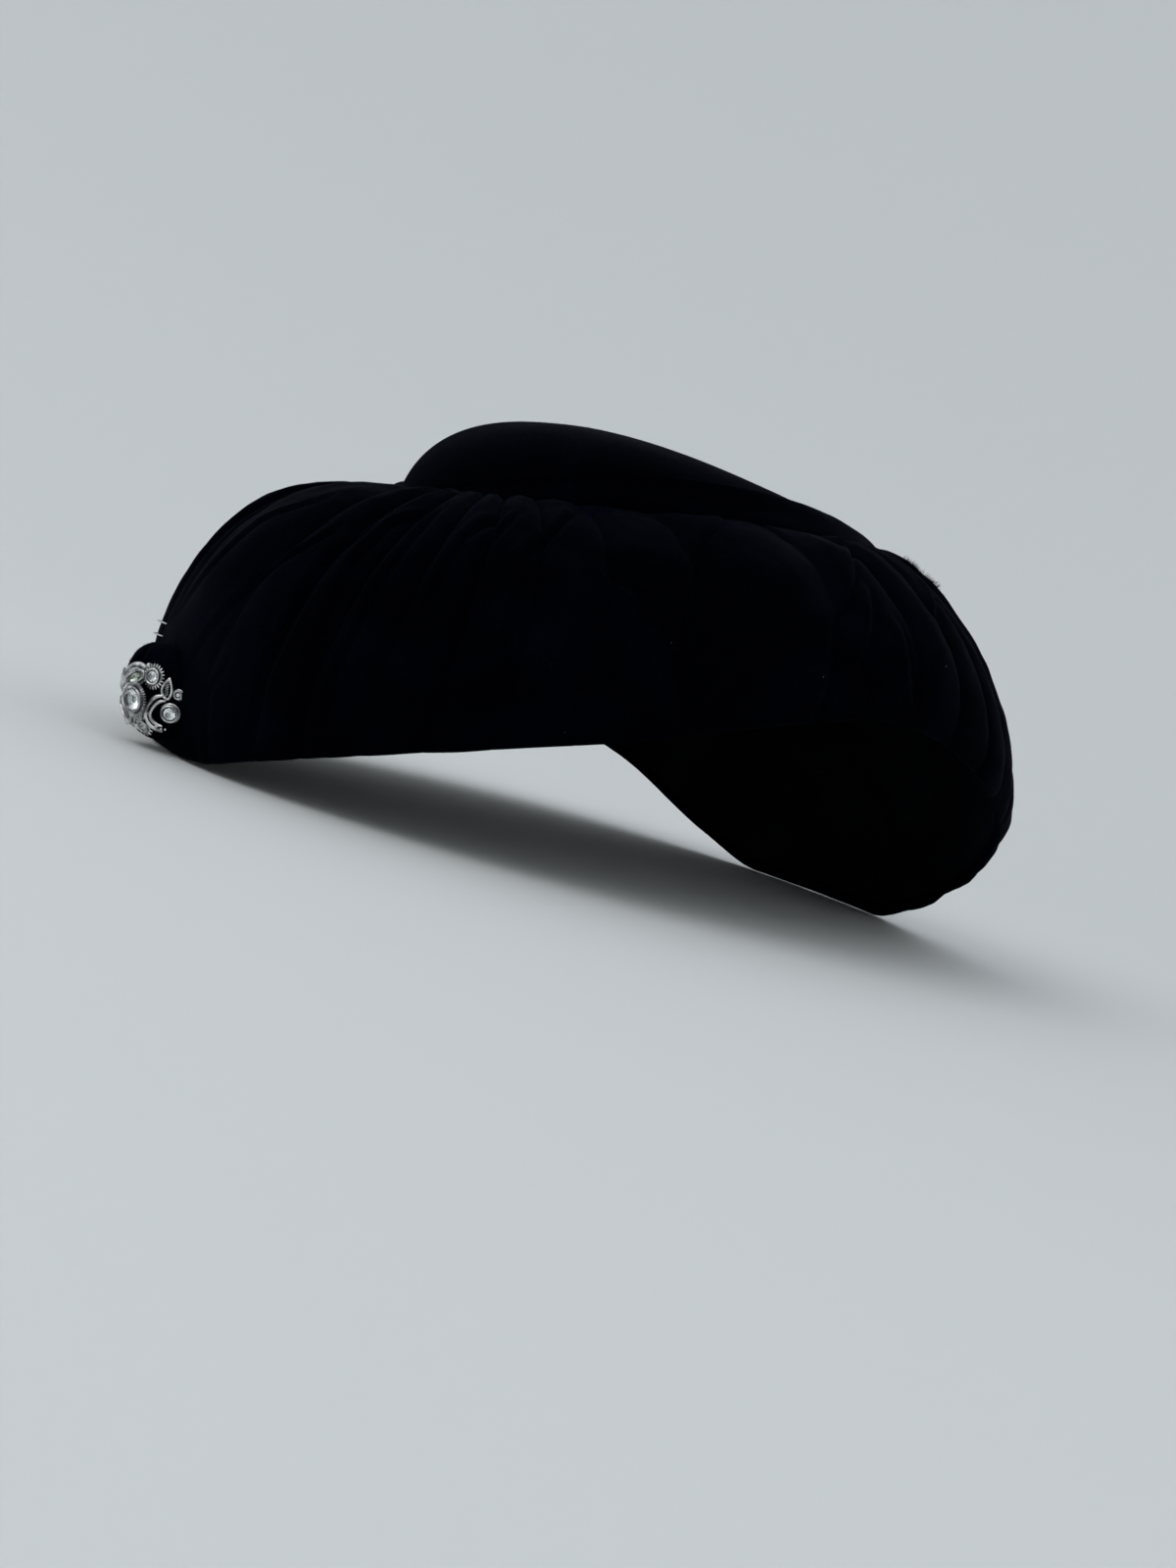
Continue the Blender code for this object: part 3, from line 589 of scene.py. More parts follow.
crown = mapped_grid("crown_cloth", 360, 90, crown_shape, VELVET)
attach(crown, "root")
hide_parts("crown")
print("crown cloth:", len(crown.data.polygons), "faces")

# %% [markdown]
# Band
#
# A bias strip of velvet hides where crown and gathers meet. Its upper edge is folded under, so it ends in a soft
# round roll, and being cut on the bias it lies in two or three shallow drapes. It is made as the brim is, from
# a grid whose rows run up its outside and back down behind.

# %% Band
BAND_PLAY, BAND_DRAPE, BAND_OUTSIDE, BAND_OVER = 0.0005, 0.0007, 0.72, 0.84


def band_shape(angles, row):
    outside = np.clip(row / BAND_OUTSIDE, 0, 1)
    over = np.clip((row - BAND_OUTSIDE) / 0.12, 0, 1)
    behind = np.clip((row - BAND_OVER) / 0.16, 0, 1)
    share = np.where(behind > 0, 1 - 0.7 * behind, outside)
    tall = round_table(BAND_SHARE, 1, angles)
    fold = np.sin(math.pi * (2.4 * outside + 0.25 * np.sin(np.radians(angles * 2))))
    drape = BAND_DRAPE * tall * fold * (1 - over)
    thick = BAND_WALL * np.cos(math.pi / 2 * over) * (1 - behind)
    roll = 0.5 * BAND_WALL * np.sin(math.pi * np.clip(outside, 0, 1)) * 0.6
    grow = BAND_PLAY + thick + drape * (1 - behind) + roll
    points = crown_point(angles, band_up(angles, share), grow)
    points[:, 2] += wrinkle(points, 60, 0.0005, 1.7)
    return points


band = mapped_grid("band_cloth", 400, 30, band_shape, VELVET)
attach(band, "root")
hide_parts("crown_band")
print("band cloth:", len(band.data.polygons), "faces")

# %% [markdown]
# Lining
#
# Inside, a smooth facing covers the back of the gathers and runs up into the crown. It only has to be plain
# and to sit a hair inside the brim. Its velvet is lighter than the outside's, as painted light against the shade
# inside.

# %% Lining
HEM_AT, LINING_PLAY, LINING_WALL, CROWN_WALL, UNDER_BRIM = 0.955, 0.0004, 0.0012, 0.0020, 0.6


def lining_shape(angles, row):
    under = np.clip(row / UNDER_BRIM, 0, 1)
    over = np.clip((row - UNDER_BRIM) / (1 - UNDER_BRIM), 0, 1)
    down = HEM_AT * (1 - under)
    depth = BRIM_WALL + LINING_PLAY + LINING_WALL * np.clip(under / 0.06, 0, 1)
    low = brim_point(angles, down) - brim_normal(angles, down) * depth[:, None]
    high = crown_point(foot_angles(angles), over, -CROWN_WALL - LINING_PLAY - LINING_WALL)
    blend = np.clip(over / 0.08, 0, 1)[:, None]
    return np.where(row[:, None] <= UNDER_BRIM, low, low * (1 - blend) + high * blend)


# The lining's lighter colour is painted light against the shade inside the hat.
lining = mapped_grid("lining_cloth", 300, 100, lining_shape, FACING_PAINTED_LIGHT)
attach(lining, "root")
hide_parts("lining")
print("lining:", len(lining.data.polygons), "faces")

# %% [markdown]
# Front of the hat
#
# Knot and brooch lie on a curved place, so they get a small frame of their own: x to the wearer's left, y up
# and z out, turned a little to the left. Every point is pushed out until it is clear of the brim. The knot's
# height over that place is one formula, so that metal can be laid on the knot at any x and y.

# %% Place of the brooch
BROOCH_ANGLE, BROOCH_DOWN, BROOCH_TURN = 179.4, 0.903, math.radians(24)
KNOT_HALF_WIDTH, KNOT_HALF_HEIGHT, KNOT_RAISE, KNOT_DEPTH, KNOT_FULLNESS = 0.0122, 0.0130, 0.0028, 0.0070, 2.4


def one(function, angle, down):
    return function(np.array([angle]), down)[0]


front_middle = one(brim_point, BROOCH_ANGLE, BROOCH_DOWN)
brim_out = one(brim_normal, BROOCH_ANGLE, BROOCH_DOWN)
front_up = np.array((0, 0, 1.0)) - brim_out * brim_out[2]
front_up /= np.linalg.norm(front_up)
brim_side = np.cross(front_up, brim_out)
front_out = brim_out * math.cos(BROOCH_TURN) + brim_side * math.sin(BROOCH_TURN)
front_side = np.cross(front_up, front_out)


def roundness(point, direction):
    offset = point - front_middle
    return -(offset @ brim_out) / (offset @ direction) ** 2


ACROSS = roundness(one(brim_point, BROOCH_ANGLE - 5, BROOCH_DOWN), brim_side)
ALONG = roundness(one(brim_point, BROOCH_ANGLE, BROOCH_DOWN - 0.08), front_up)


def front_point(x, y, z, play=0.0003):
    point = front_middle + front_side * x + front_up * y + front_out * z
    offset = point - front_middle
    height = offset @ brim_out + ACROSS * (offset @ brim_side) ** 2 + ALONG * (offset @ front_up) ** 2
    return Vector(point + brim_out * max(0.0, play - height))


def knot_height(x, y, grow=0.0):
    share = (abs(x) / (KNOT_HALF_WIDTH + grow)) ** KNOT_FULLNESS
    share += (abs(y - KNOT_RAISE) / (KNOT_HALF_HEIGHT + grow)) ** KNOT_FULLNESS
    return (KNOT_DEPTH + grow) * max(0.0, 1 - share) ** (1 / KNOT_FULLNESS)


def on_knot(x, y, play):
    return front_point(x, y, knot_height(x, y, play), play)


def knot_frame(x, y, play):
    """Axes over the knot at x, y: the third points out of it."""
    step = 0.0005
    across = on_knot(x + step, y, play) - on_knot(x - step, y, play)
    up = (on_knot(x, y + step, play) - on_knot(x, y - step, play)).normalized()
    out = across.cross(up).normalized()
    return Matrix.Translation(on_knot(x, y, play)) @ Matrix((up.cross(out), up, out)).transposed().to_4x4()


print("brooch at", front_middle.round(4), "facing", front_out.round(2))

# %% [markdown]
# Knot
#
# A scrap of the same velvet is folded twice and sewn down, which gives a puff with soft creases that run in to
# where the brooch holds it. A round ball is mapped to the knot's fuller plan, and then the creases are pressed
# in and its surface is roughened a little.

# %% Knot
KNOT_CREASES = ((-0.0085, 0.0040, -0.6), (-0.0035, 0.0105, 0.25), (0.0040, 0.0115, -0.3), (0.0090, 0.0050, 0.8))
CREASE_DEPTH, CREASE_WIDTH = 0.0011, 0.0009

knot_mesh = bmesh.new()
bmesh.ops.create_uvsphere(knot_mesh, u_segments=144, v_segments=72, radius=1)
for vert in knot_mesh.verts:
    x, y, z = vert.co
    reach = math.hypot(x, y)
    if reach > 1e-6:
        share = (abs(x / reach) ** KNOT_FULLNESS + abs(y / reach) ** KNOT_FULLNESS) ** (-1 / KNOT_FULLNESS)
        x, y = x * share, y * share
    px, py = x * KNOT_HALF_WIDTH, y * KNOT_HALF_HEIGHT + KNOT_RAISE
    pz = knot_height(px, py) if z > 0 else -knot_height(px, py)
    fade = min(1, max(0, (py - 0.001) / 0.004))
    crease = sum(math.exp(-(((px - cx) - lean * (py - cy)) / CREASE_WIDTH) ** 2) * fade
                 for cx, cy, lean in KNOT_CREASES)
    rough = noise.noise(Vector((px, py, pz)) * 260) * 0.0005 + noise.noise(Vector((px, py, pz)) * 900) * 0.00015
    shrink = (rough - CREASE_DEPTH * crease) * max(0, z)
    vert.co = front_point(px, py, pz + shrink)
bmesh.ops.recalc_face_normals(knot_mesh, faces=knot_mesh.faces)
# A ball's faces come in another order each run, and the pile is strewn by their order
SORTING_LINE = Vector((1.0, 1.7, 2.3))
knot_mesh.faces.sort(key=lambda face: face.calc_center_median().dot(SORTING_LINE))
knot = new_piece("knot_cloth", knot_mesh, VELVET)
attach(knot, "root")
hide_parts("velvet_knot")
print("knot:", len(knot.data.polygons), "faces")

# %% [markdown]
# Silver and paste
#
# The brooch is cast white metal, plated, with paste stones: cut glass with foil behind it. Old plating is grey in
# its hollows and bright on its edges; here a noise strews the grey and the bright over the surface. The stones
# are real glass over a bright cup, because only that gives their hard sparks and dark facets.

# %% Materials of the brooch
def metal_material(name, dull, bright, roughness):
    material = plain_material(name, bright, roughness, 1.0)
    tree = material.node_tree
    shader = tree.nodes["Principled BSDF"]
    place = node(tree, "TexCoord")
    cloud = node(tree, "TexNoise", [("Scale", 420), ("Detail", 5)])
    spread = node(tree, "MapRange", [("From Min", 0.38), ("From Max", 0.60)])
    tone = node(tree, "Mix", data_type="RGBA")
    tone.inputs["A"].default_value = (*dull, 1)
    tone.inputs["B"].default_value = (*bright, 1)
    polish = node(tree, "MapRange", [("To Min", roughness + 0.22), ("To Max", roughness)])
    bump = node(tree, "Bump", [("Strength", 0.5), ("Distance", 0.00004)])
    link(tree, [
        (place.outputs["Object"], cloud.inputs["Vector"]), (cloud.outputs["Fac"], spread.inputs["Value"]),
        (spread.outputs["Result"], tone.inputs["Factor"]), (tone.outputs["Result"], shader.inputs["Base Color"]),
        (spread.outputs["Result"], polish.inputs["Value"]),
        (polish.outputs["Result"], shader.inputs["Roughness"]),
        (cloud.outputs["Fac"], bump.inputs["Height"]), (bump.outputs["Normal"], shader.inputs["Normal"])])
    return material


def glass_material(name, colour):
    material = plain_material(name, colour, 0.02)
    shader = material.node_tree.nodes["Principled BSDF"]
    shader.inputs["Transmission Weight"].default_value = 1.0
    shader.inputs["IOR"].default_value = 1.62
    return material


SILVER = metal_material("old_silver_plate", (0.19, 0.19, 0.20), (0.76, 0.76, 0.74), 0.22)
FOIL = metal_material("foil_cup", (0.30, 0.32, 0.32), (0.75, 0.77, 0.78), 0.12)
CLEAR = glass_material("clear_paste_glass", (0.96, 0.98, 0.98))
GREEN = glass_material("smoky_paste_glass", (0.62, 0.70, 0.58))
print("brooch materials:", SILVER.name, FOIL.name, CLEAR.name, GREEN.name)

# %% [markdown]
# Wire, rope and rings
#
# Most of the brooch is wire: plain rails, twisted rope and rings. One helper bends a grid into a tube along a
# route and closes its ends. A twist makes the tube's section turn like the strands of a rope, which is quicker
# to shape than winding two wires, and looks the same at this size.

# %% Wire helper
SILVER_PARTS = []
ROUTE_STEPS, ROPE_GROOVE = 12, 0.30


def smooth_route(points, steps):
    """Curve through the points, in steps equal steps."""
    points = np.array(points, float)
    padded = np.vstack([2 * points[0] - points[1], points, 2 * points[-1] - points[-2]])
    fine = []
    for p0, p1, p2, p3 in zip(padded, padded[1:], padded[2:], padded[3:]):
        t = np.linspace(0, 1, ROUTE_STEPS, endpoint=False)[:, None]
        fine.append(0.5 * (2 * p1 + (p2 - p0) * t + (2 * p0 - 5 * p1 + 4 * p2 - p3) * t**2
                           + (3 * p1 - p0 - 3 * p2 + p3) * t**3))
    fine = np.vstack(fine + [points[-1:]])
    run = np.concatenate([[0], np.cumsum(np.linalg.norm(np.diff(fine, axis=0), axis=1))])
    at = np.linspace(0, run[-1], steps + 1)
    return np.stack([np.interp(at, run, fine[:, axis]) for axis in range(points.shape[1])], -1), run[-1]


def wire(route, radius, steps=60, sides=8, rope=0.0, closed=False, taper=None):
    """Tube along a route of world points. With rope, its section is two strands that turn once in that length."""
    if closed:
        route = list(route) + [route[0]]
    line, length = smooth_route(route, steps)
    ahead = np.gradient(line, axis=0)
    if closed:
        ahead[0] = ahead[-1] = ahead[0] + ahead[-1]
    ahead /= np.linalg.norm(ahead, axis=1, keepdims=True)
    first = np.cross(ahead, front_out)
    first /= np.linalg.norm(first, axis=1, keepdims=True)
    second = np.cross(ahead, first)
    mesh = bmesh.new()
    bmesh.ops.create_grid(mesh, x_segments=steps, y_segments=sides, size=0.5)
    for vert in mesh.verts:
        i, turn = round((vert.co.x + 0.5) * steps), (vert.co.y + 0.5) * 2 * math.pi
        reach = radius
        if rope:
            twist = 2 * math.pi * i / steps * round(length / rope)
            reach *= 1 + ROPE_GROOVE * (abs(math.cos(turn - twist)) - 0.5)
        if taper:
            reach *= float(np.interp(i / steps, *taper))
        vert.co = line[i] + (first[i] * math.cos(turn) + second[i] * math.sin(turn)) * reach
    bmesh.ops.remove_doubles(mesh, verts=mesh.verts, dist=0.000002)
    if not closed:
        bmesh.ops.holes_fill(mesh, edges=[edge for edge in mesh.edges if edge.is_boundary], sides=0)
    bmesh.ops.recalc_face_normals(mesh, faces=mesh.faces)
    SILVER_PARTS.append(mesh)
    return length


def over_knot(points_mm, lift):
    return [on_knot(x / 1000, y / 1000, lift) for x, y in points_mm]


def bead(frame, radius, place=(0, 0, 0), stretch=(1, 1, 1)):
    mesh = bmesh.new()
    bmesh.ops.create_uvsphere(mesh, u_segments=14, v_segments=9, radius=radius)
    bmesh.ops.scale(mesh, vec=stretch, verts=mesh.verts)
    bmesh.ops.translate(mesh, vec=place, verts=mesh.verts)
    mesh.transform(frame)
    SILVER_PARTS.append(mesh)


def join(name, meshes, material):
    whole = bmesh.new()
    for mesh in meshes:
        data = bpy.data.meshes.new("part")
        mesh.to_mesh(data)
        mesh.free()
        whole.from_mesh(data)
        bpy.data.meshes.remove(data)
    return new_piece(name, whole, material)


print("rope test, millimetres:", round(wire(over_knot([(-1, 0), (1, 0)], 0.001), 0.0001) * 1000, 2))
SILVER_PARTS.pop().free()

# %% [markdown]
# Stones in their cups
#
# A round stone has a flat table, a ring of sloping facets, a thin girdle and a pointed back. A cone with its top
# face drawn in gives all of it. The cup is a bright ring with a gap inside, a foil funnel under the stone, and
# for the larger stones a collar of ribs. An oval or pointed stone is the same stone, stretched.

# %% Stone and cup
def cut_stone(name, replaced, x, y, radius, lift, material, facets=16, stretch=1.0, turn=0.0, table=0.56):
    """Stone over the knot at x, y in millimetres: stretch is its length over its width."""
    frame = knot_frame(x / 1000, y / 1000, 0.0008) @ Matrix.Rotation(math.radians(turn), 4, "Z")
    radius, lift = radius / 1000, lift / 1000
    mesh = bmesh.new()
    bmesh.ops.create_cone(mesh, cap_ends=True, segments=facets, radius1=radius * 0.12, radius2=radius,
                          depth=radius * 0.7, matrix=Matrix.Translation((0, 0, -radius * 0.35)))
    top = max(mesh.faces, key=lambda face: face.calc_center_median().z)
    girdle = bmesh.ops.extrude_face_region(mesh, geom=[top])["geom"]
    bmesh.ops.delete(mesh, geom=[top], context="FACES_ONLY")
    edge = [v for v in girdle if isinstance(v, bmesh.types.BMVert)]
    bmesh.ops.translate(mesh, verts=edge, vec=(0, 0, radius * 0.06))
    face = next(part for part in girdle if isinstance(part, bmesh.types.BMFace))
    for shrink, rise in ((0.80, 0.20), (table / 0.80, 0.14)):
        crown_part = bmesh.ops.extrude_face_region(mesh, geom=[face])["geom"]
        bmesh.ops.delete(mesh, geom=[face], context="FACES_ONLY")
        ring = [v for v in crown_part if isinstance(v, bmesh.types.BMVert)]
        bmesh.ops.scale(mesh, verts=ring, vec=(shrink, shrink, 1))
        bmesh.ops.rotate(mesh, verts=ring, cent=(0, 0, 0), matrix=Matrix.Rotation(math.pi / facets, 3, "Z"))
        bmesh.ops.translate(mesh, verts=ring, vec=(0, 0, radius * rise))
        face = next(part for part in crown_part if isinstance(part, bmesh.types.BMFace))
    for vert in mesh.verts:
        point = 1 - 0.35 * abs(vert.co.x) / radius if stretch > 1.5 else 1
        vert.co.x, vert.co.y = vert.co.x * stretch, vert.co.y * point
    bmesh.ops.triangulate(mesh, faces=[f for f in mesh.faces if len(f.verts) == 4])
    bmesh.ops.recalc_face_normals(mesh, faces=mesh.faces)
    mesh.transform(frame @ Matrix.Translation((0, 0, lift)))
    stone = new_piece(name, mesh, material)
    stone.data.shade_flat()
    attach(stone, "root")
    if replaced:
        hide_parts(replaced)
    return frame, radius, lift


FOIL_PARTS = []


def cup(frame, radius, lift, stretch=1.0, ribs=0, wall=0.00045):
    """Foil funnel, bright ring and outer wall of a stone's cup, and its ribs if it has any."""
    funnel = bmesh.new()
    bmesh.ops.create_cone(funnel, cap_ends=True, segments=32, radius1=radius * 0.25, radius2=radius * 1.10,
                          depth=lift + 0.0006, matrix=Matrix.Translation((0, 0, (lift + 0.0006) / 2 - 0.0010)))
    top = max(funnel.faces, key=lambda face: face.calc_center_median().z)
    bmesh.ops.inset_region(funnel, faces=[top], thickness=radius * 0.06, use_even_offset=True)
    bmesh.ops.translate(funnel, verts=top.verts, vec=(0, 0, -radius * 0.76))
    bmesh.ops.scale(funnel, verts=top.verts, vec=(0.24, 0.24, 1))
    for vert in funnel.verts:
        vert.co.x *= stretch
    funnel.transform(frame)
    FOIL_PARTS.append(funnel)
    outer_wall = (radius + 0.00075, lift - 0.0010, 0.0003)
    for reach, height, thick in ((radius + 0.00050, lift + 0.00005, wall), outer_wall):
        points = [frame @ Vector((reach * stretch * math.cos(a), reach * math.sin(a), height))
                  for a in np.linspace(0, 2 * math.pi, 32, endpoint=False)]
        wire(points, thick, steps=64, sides=10, closed=True)
    for index in range(ribs):
        turn = Matrix.Rotation(2 * math.pi * index / ribs, 4, "Z")
        bead(frame @ turn, 0.00042, (radius + 0.00125, 0, lift - 0.0008), (1.9, 0.62, 1.1))


centre = cut_stone("stone_centre_cut", "stone_centre", 0.4, 1.4, 2.75, 3.3, CLEAR, facets=16, table=0.62)
cup(*centre, ribs=40, wall=0.00042)
shell = cut_stone("stone_shell_left_cut", "stone_shell_left", 4.8, 7.8, 1.45, 1.5, CLEAR, facets=12)
cup(*shell, ribs=22, wall=0.00030)
leafy = cut_stone("stone_top_cut", "stone_top", -1.1, 6.7, 1.05, 1.4, GREEN, facets=12, stretch=2.5, turn=27)
cup(*leafy, stretch=2.4, wall=0.00032)
hidden = cut_stone("stone_shell_right_cut", "stone_shell_right", -6.3, 4.4, 0.8, 0.7, CLEAR, facets=10)
cup(*hidden, wall=0.00022)
for label, x, radius, lift in (("left", 9.7, 1.65, 1.5), ("right", -7.6, 1.2, 0.3)):
    stone = cut_stone(f"stone_scroll_{label}_cut", f"stone_scroll_{label}", x, -0.9, radius, lift, CLEAR,
                      facets=12)
    cup(*stone, wall=0.00026)
for label, x, radius, lift in (("left", 11.1, 0.5, 0.5), ("right", -9.2, 0.4, 0.2)):
    tiny = cut_stone(f"stone_leaf_{label}_cut", None, x, 3.9, radius, lift, CLEAR, facets=8)
    cup(*tiny, wall=0.00015)
lower = cut_stone("stone_lower_cut", "stone_lower", 1.4, -5.6, 1.0, 1.1, CLEAR, facets=10)
cup(*lower, ribs=14, wall=0.00026)
print("cups:", len(FOIL_PARTS), "silver parts so far:", len(SILVER_PARTS))

# %% [markdown]
# Scrolls, leaves and feathers
#
# Round the stones run a double rope over the top, a double rail that curls round each side stone, a leaf with
# cut veins on each shoulder, and a fan of feather-like ribs below. Only the side towards the camera shows well,
# and the other side is made as its mirror image, as such a brooch is.

# %% Filigree
ROPE_ARC = ((-8.2, 3.4), (-7.8, 4.4), (-7.0, 6.4), (-5.6, 7.8), (-4.2, 9.2), (-2.4, 10.0), (-0.4, 10.2),
            (1.6, 9.6))
RAIL = ((8.8, 2.8), (6.8, 2.2), (4.9, 0.4), (3.9, -1.4), (3.8, -2.9), (4.7, -4.4), (6.4, -5.3), (7.6, -5.5))
LEAF = ((9.2, 8.0), (8.0, 6.4), (7.6, 4.8), (8.1, 3.2), (9.3, 2.6), (10.0, 4.0), (10.0, 5.8), (9.2, 8.0))


def beside(points, off):
    """The same line, moved sideways."""
    line = np.array(points, float)
    ahead = np.gradient(line, axis=0)
    ahead /= np.linalg.norm(ahead, axis=1, keepdims=True)
    return line + np.stack([-ahead[:, 1], ahead[:, 0]], -1) * off


wire(over_knot(ROPE_ARC, 0.0014), 0.00062, steps=150, sides=10, rope=0.0011)
wire(over_knot(beside(ROPE_ARC, -1.25), 0.0017), 0.00055, steps=140, sides=10, rope=0.0010)
wire(over_knot(beside(ROPE_ARC, -2.3), 0.0016), 0.00030, steps=80)
bead(knot_frame(0.0024, 0.0104, 0.0014), 0.00075)
bead(knot_frame(0.0034, 0.0103, 0.0012), 0.00045)
for side in (1, -1):
    def mirror(points):
        return [(x if side > 0 else -0.85 * x, y) for x, y in points]

    rail_taper = ((0, 0.15, 0.85, 1), (0.5, 1, 1, 0.6))
    wire(over_knot(mirror(beside(RAIL, -0.75)), 0.0016), 0.00060, steps=90, taper=rail_taper)
    wire(over_knot(mirror(beside(RAIL, 0.72)), 0.0015), 0.00050, steps=90, taper=rail_taper)
    for x, y, size in ((6.0, -5.1, 0.62), (7.2, -5.7, 0.5), (8.3, -5.6, 0.36), (8.8, 2.9, 0.45)):
        bead(knot_frame(mirror([(x, y)])[0][0] / 1000, y / 1000, 0.0015), size / 1000)
    wire(over_knot(mirror(LEAF[:-1]), 0.0013), 0.00036, steps=80, closed=True)
    for step in range(7):
        y = 3.2 + step * 0.66
        wire(over_knot(mirror([(8.0 + 0.04 * step, y), (9.0, y + 0.7)]), 0.0010), 0.00016, steps=6, sides=6)
    tip = [(1.7 * side, -1.6), (3.0 * side, -1.7), (3.9 * side, -1.9)]
    wire(over_knot(tip, 0.0015), 0.00055, steps=16, taper=((0, 0.4, 1), (0.2, 1, 0.8)))
for index in range(15):
    share = index / 14
    start = (-2.4 + 3.4 * share, -2.3 - 0.9 * math.sin(math.pi * share))
    end = (-9.6 + 10.2 * share ** 0.8, -2.9 - 4.0 * share ** 0.75)
    middle = ((start[0] + end[0]) / 2, (start[1] + end[1]) / 2 + 0.3)
    wire(over_knot([start, middle, end], 0.0011), 0.00034, steps=16,
         taper=((0, 0.3, 1), (0.5, 1, 0.7)))
for lift, off in ((0.0010, 0.0), (0.0013, 0.8)):
    edge = [(-9.8 + off, -2.4), (-8.2 + off, -4.4 + off * 0.3), (-5.2, -6.0 + off), (-2.0, -6.9 + off),
            (1.2, -7.0 + off)]
    wire(over_knot(edge, lift), 0.00036, steps=70, rope=0.0009)
for x, y in ((-2.0, -4.9), (-0.4, -5.4), (3.0, -4.9), (3.4, -5.9)):
    wire(over_knot([(x - 0.3, y - 1.1), (x, y), (x + 0.2, y + 1.0)], 0.0014), 0.0004, steps=14,
         taper=((0, 0.5, 1), (0.3, 1, 0.3)))
silver = join("brooch_metal", SILVER_PARTS, SILVER)
foil = join("brooch_foil", FOIL_PARTS, FOIL)
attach(silver, "root")
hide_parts("brooch_frame")
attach(foil, "root")
print("brooch metal:", len(silver.data.polygons), "faces, foil:", len(foil.data.polygons))

# %% [markdown]
# Standing pile
#
# Against the light, velvet has no hard edge: its threads stand up along every outline, and they fray where the
# cloth is cut or folded. A hair system would do it, but real geometry survives every export. One thin cone is
# doubled again and again, and then each cone gets its own root, direction and length.

# %% Blade helper
def blades(name, roots, directions, lengths, width, material):
    """One cone for each root, all in one piece."""
    mesh = bmesh.new()
    bmesh.ops.create_cone(mesh, cap_ends=True, segments=3, radius1=1, radius2=0, depth=1)
    doublings = math.ceil(math.log2(len(roots)))
    for _ in range(doublings):
        bmesh.ops.duplicate(mesh, geom=mesh.verts[:] + mesh.edges[:] + mesh.faces[:])
    data = bpy.data.meshes.new(name)
    mesh.to_mesh(data)
    mesh.free()
    plain = np.zeros(len(data.vertices) * 3)
    data.vertices.foreach_get("co", plain)
    plain = plain.reshape(-1, 3)
    # Each corner learns the number of its own blade through the faces that it belongs to
    faces = np.zeros(len(data.loops), int)
    data.loops.foreach_get("vertex_index", faces)
    blade = np.arange(len(plain))
    for _ in range(3):
        lowest = blade[faces.reshape(-1, 3)].min(axis=1)
        np.minimum.at(blade, faces, np.repeat(lowest, 3))
    blade = np.unique(blade, return_inverse=True)[1]
    count = blade.max() + 1
    pick = blade % len(roots)
    root, ahead = roots[pick], directions[pick]
    across = np.cross(ahead, (0.31, 0.52, 0.79))
    across /= np.linalg.norm(across, axis=1, keepdims=True)
    over = np.cross(ahead, across)
    long = (plain[:, 2:] + 0.5) * lengths[pick][:, None]
    placed = root + ahead * long + (across * plain[:, :1] + over * plain[:, 1:2]) * width
    data.vertices.foreach_set("co", placed.reshape(-1))
    data.update()
    piece = bpy.data.objects.new(name, data)
    bpy.context.scene.collection.objects.link(piece)
    data.materials.append(material)
    data.shade_smooth()
    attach(piece, "root")
    print(name + ":", count, "blades")
    return piece


# %% Pile on the brim, the crown and the knot
PILE = cloth_material("black_pile_tips", (0.0002, 0.0004, 0.0016), (0.0008, 0.0012, 0.0040), 0.0, 0.00005)
dice = np.random.default_rng(11)


def unit(vectors):
    return vectors / np.linalg.norm(vectors, axis=1, keepdims=True)


def pile_on(piece, count, length, spread, sink=0.0001, keep=None):
    """Roots, directions and lengths of pile strewn over a piece."""
    data = piece.data
    centres, normals, areas = (np.zeros(len(data.polygons) * size) for size in (3, 3, 1))
    data.polygons.foreach_get("center", centres)
    data.polygons.foreach_get("normal", normals)
    data.polygons.foreach_get("area", areas)
    centres, normals = centres.reshape(-1, 3), normals.reshape(-1, 3)
    weight = areas * (keep(centres) if keep else 1)
    pick = dice.choice(len(areas), count, p=weight / weight.sum())
    ahead = unit(normals[pick] + dice.normal(0, spread, (count, 3)))
    jitter = dice.normal(0, 0.0005, (count, 3))
    jitter -= normals[pick] * np.sum(jitter * normals[pick], axis=1, keepdims=True)
    return centres[pick] + jitter - normals[pick] * sink, ahead, length * dice.uniform(0.5, 1.3, count)


blades("brim_pile", *pile_on(brim, 16384, 0.00050, 0.5), 0.000045, PILE)
blades("crown_pile", *pile_on(crown, 4096, 0.00040, 0.5), 0.000045, PILE)
blades("band_pile", *pile_on(band, 2048, 0.00045, 0.5), 0.000045, PILE)
blades("knot_pile", *pile_on(knot, 4096, 0.00085, 0.6), 0.00005, PILE)

# %% Frayed rim
RIM_BLADES = 8192
around = dice.uniform(-180, 180, RIM_BLADES)
fray = np.interp(np.abs(around), (0, 40, 60, 180), (1.6, 1.3, 0.8, 0.75))
rim_low = brim_point(around, 0.985 + 0.01 * dice.uniform(-1, 1, RIM_BLADES))
rim_out = brim_normal(around, 0.97)
downwards = unit(brim_point(around, 1.0) - brim_point(around, 0.97))
fray_ahead = unit(downwards + rim_out * dice.normal(0.1, 0.5, RIM_BLADES)[:, None]
                  + dice.normal(0, 0.35, (RIM_BLADES, 3)))
tufts = 0.6 + 0.7 * np.array([noise.noise(Vector((a * 0.9, 0, 0))) for a in around])
fray_long = 0.0010 * fray * np.clip(tufts, 0.25, 1.4) * dice.uniform(0.6, 1.3, RIM_BLADES)
fray_long = np.minimum(fray_long, np.maximum(rim_low[:, 2] - 0.0002, 0.0003))
fray_roots = rim_low - rim_out * (BRIM_WALL / 2)
blades("rim_pile", fray_roots, fray_ahead, fray_long, 0.00006, PILE)
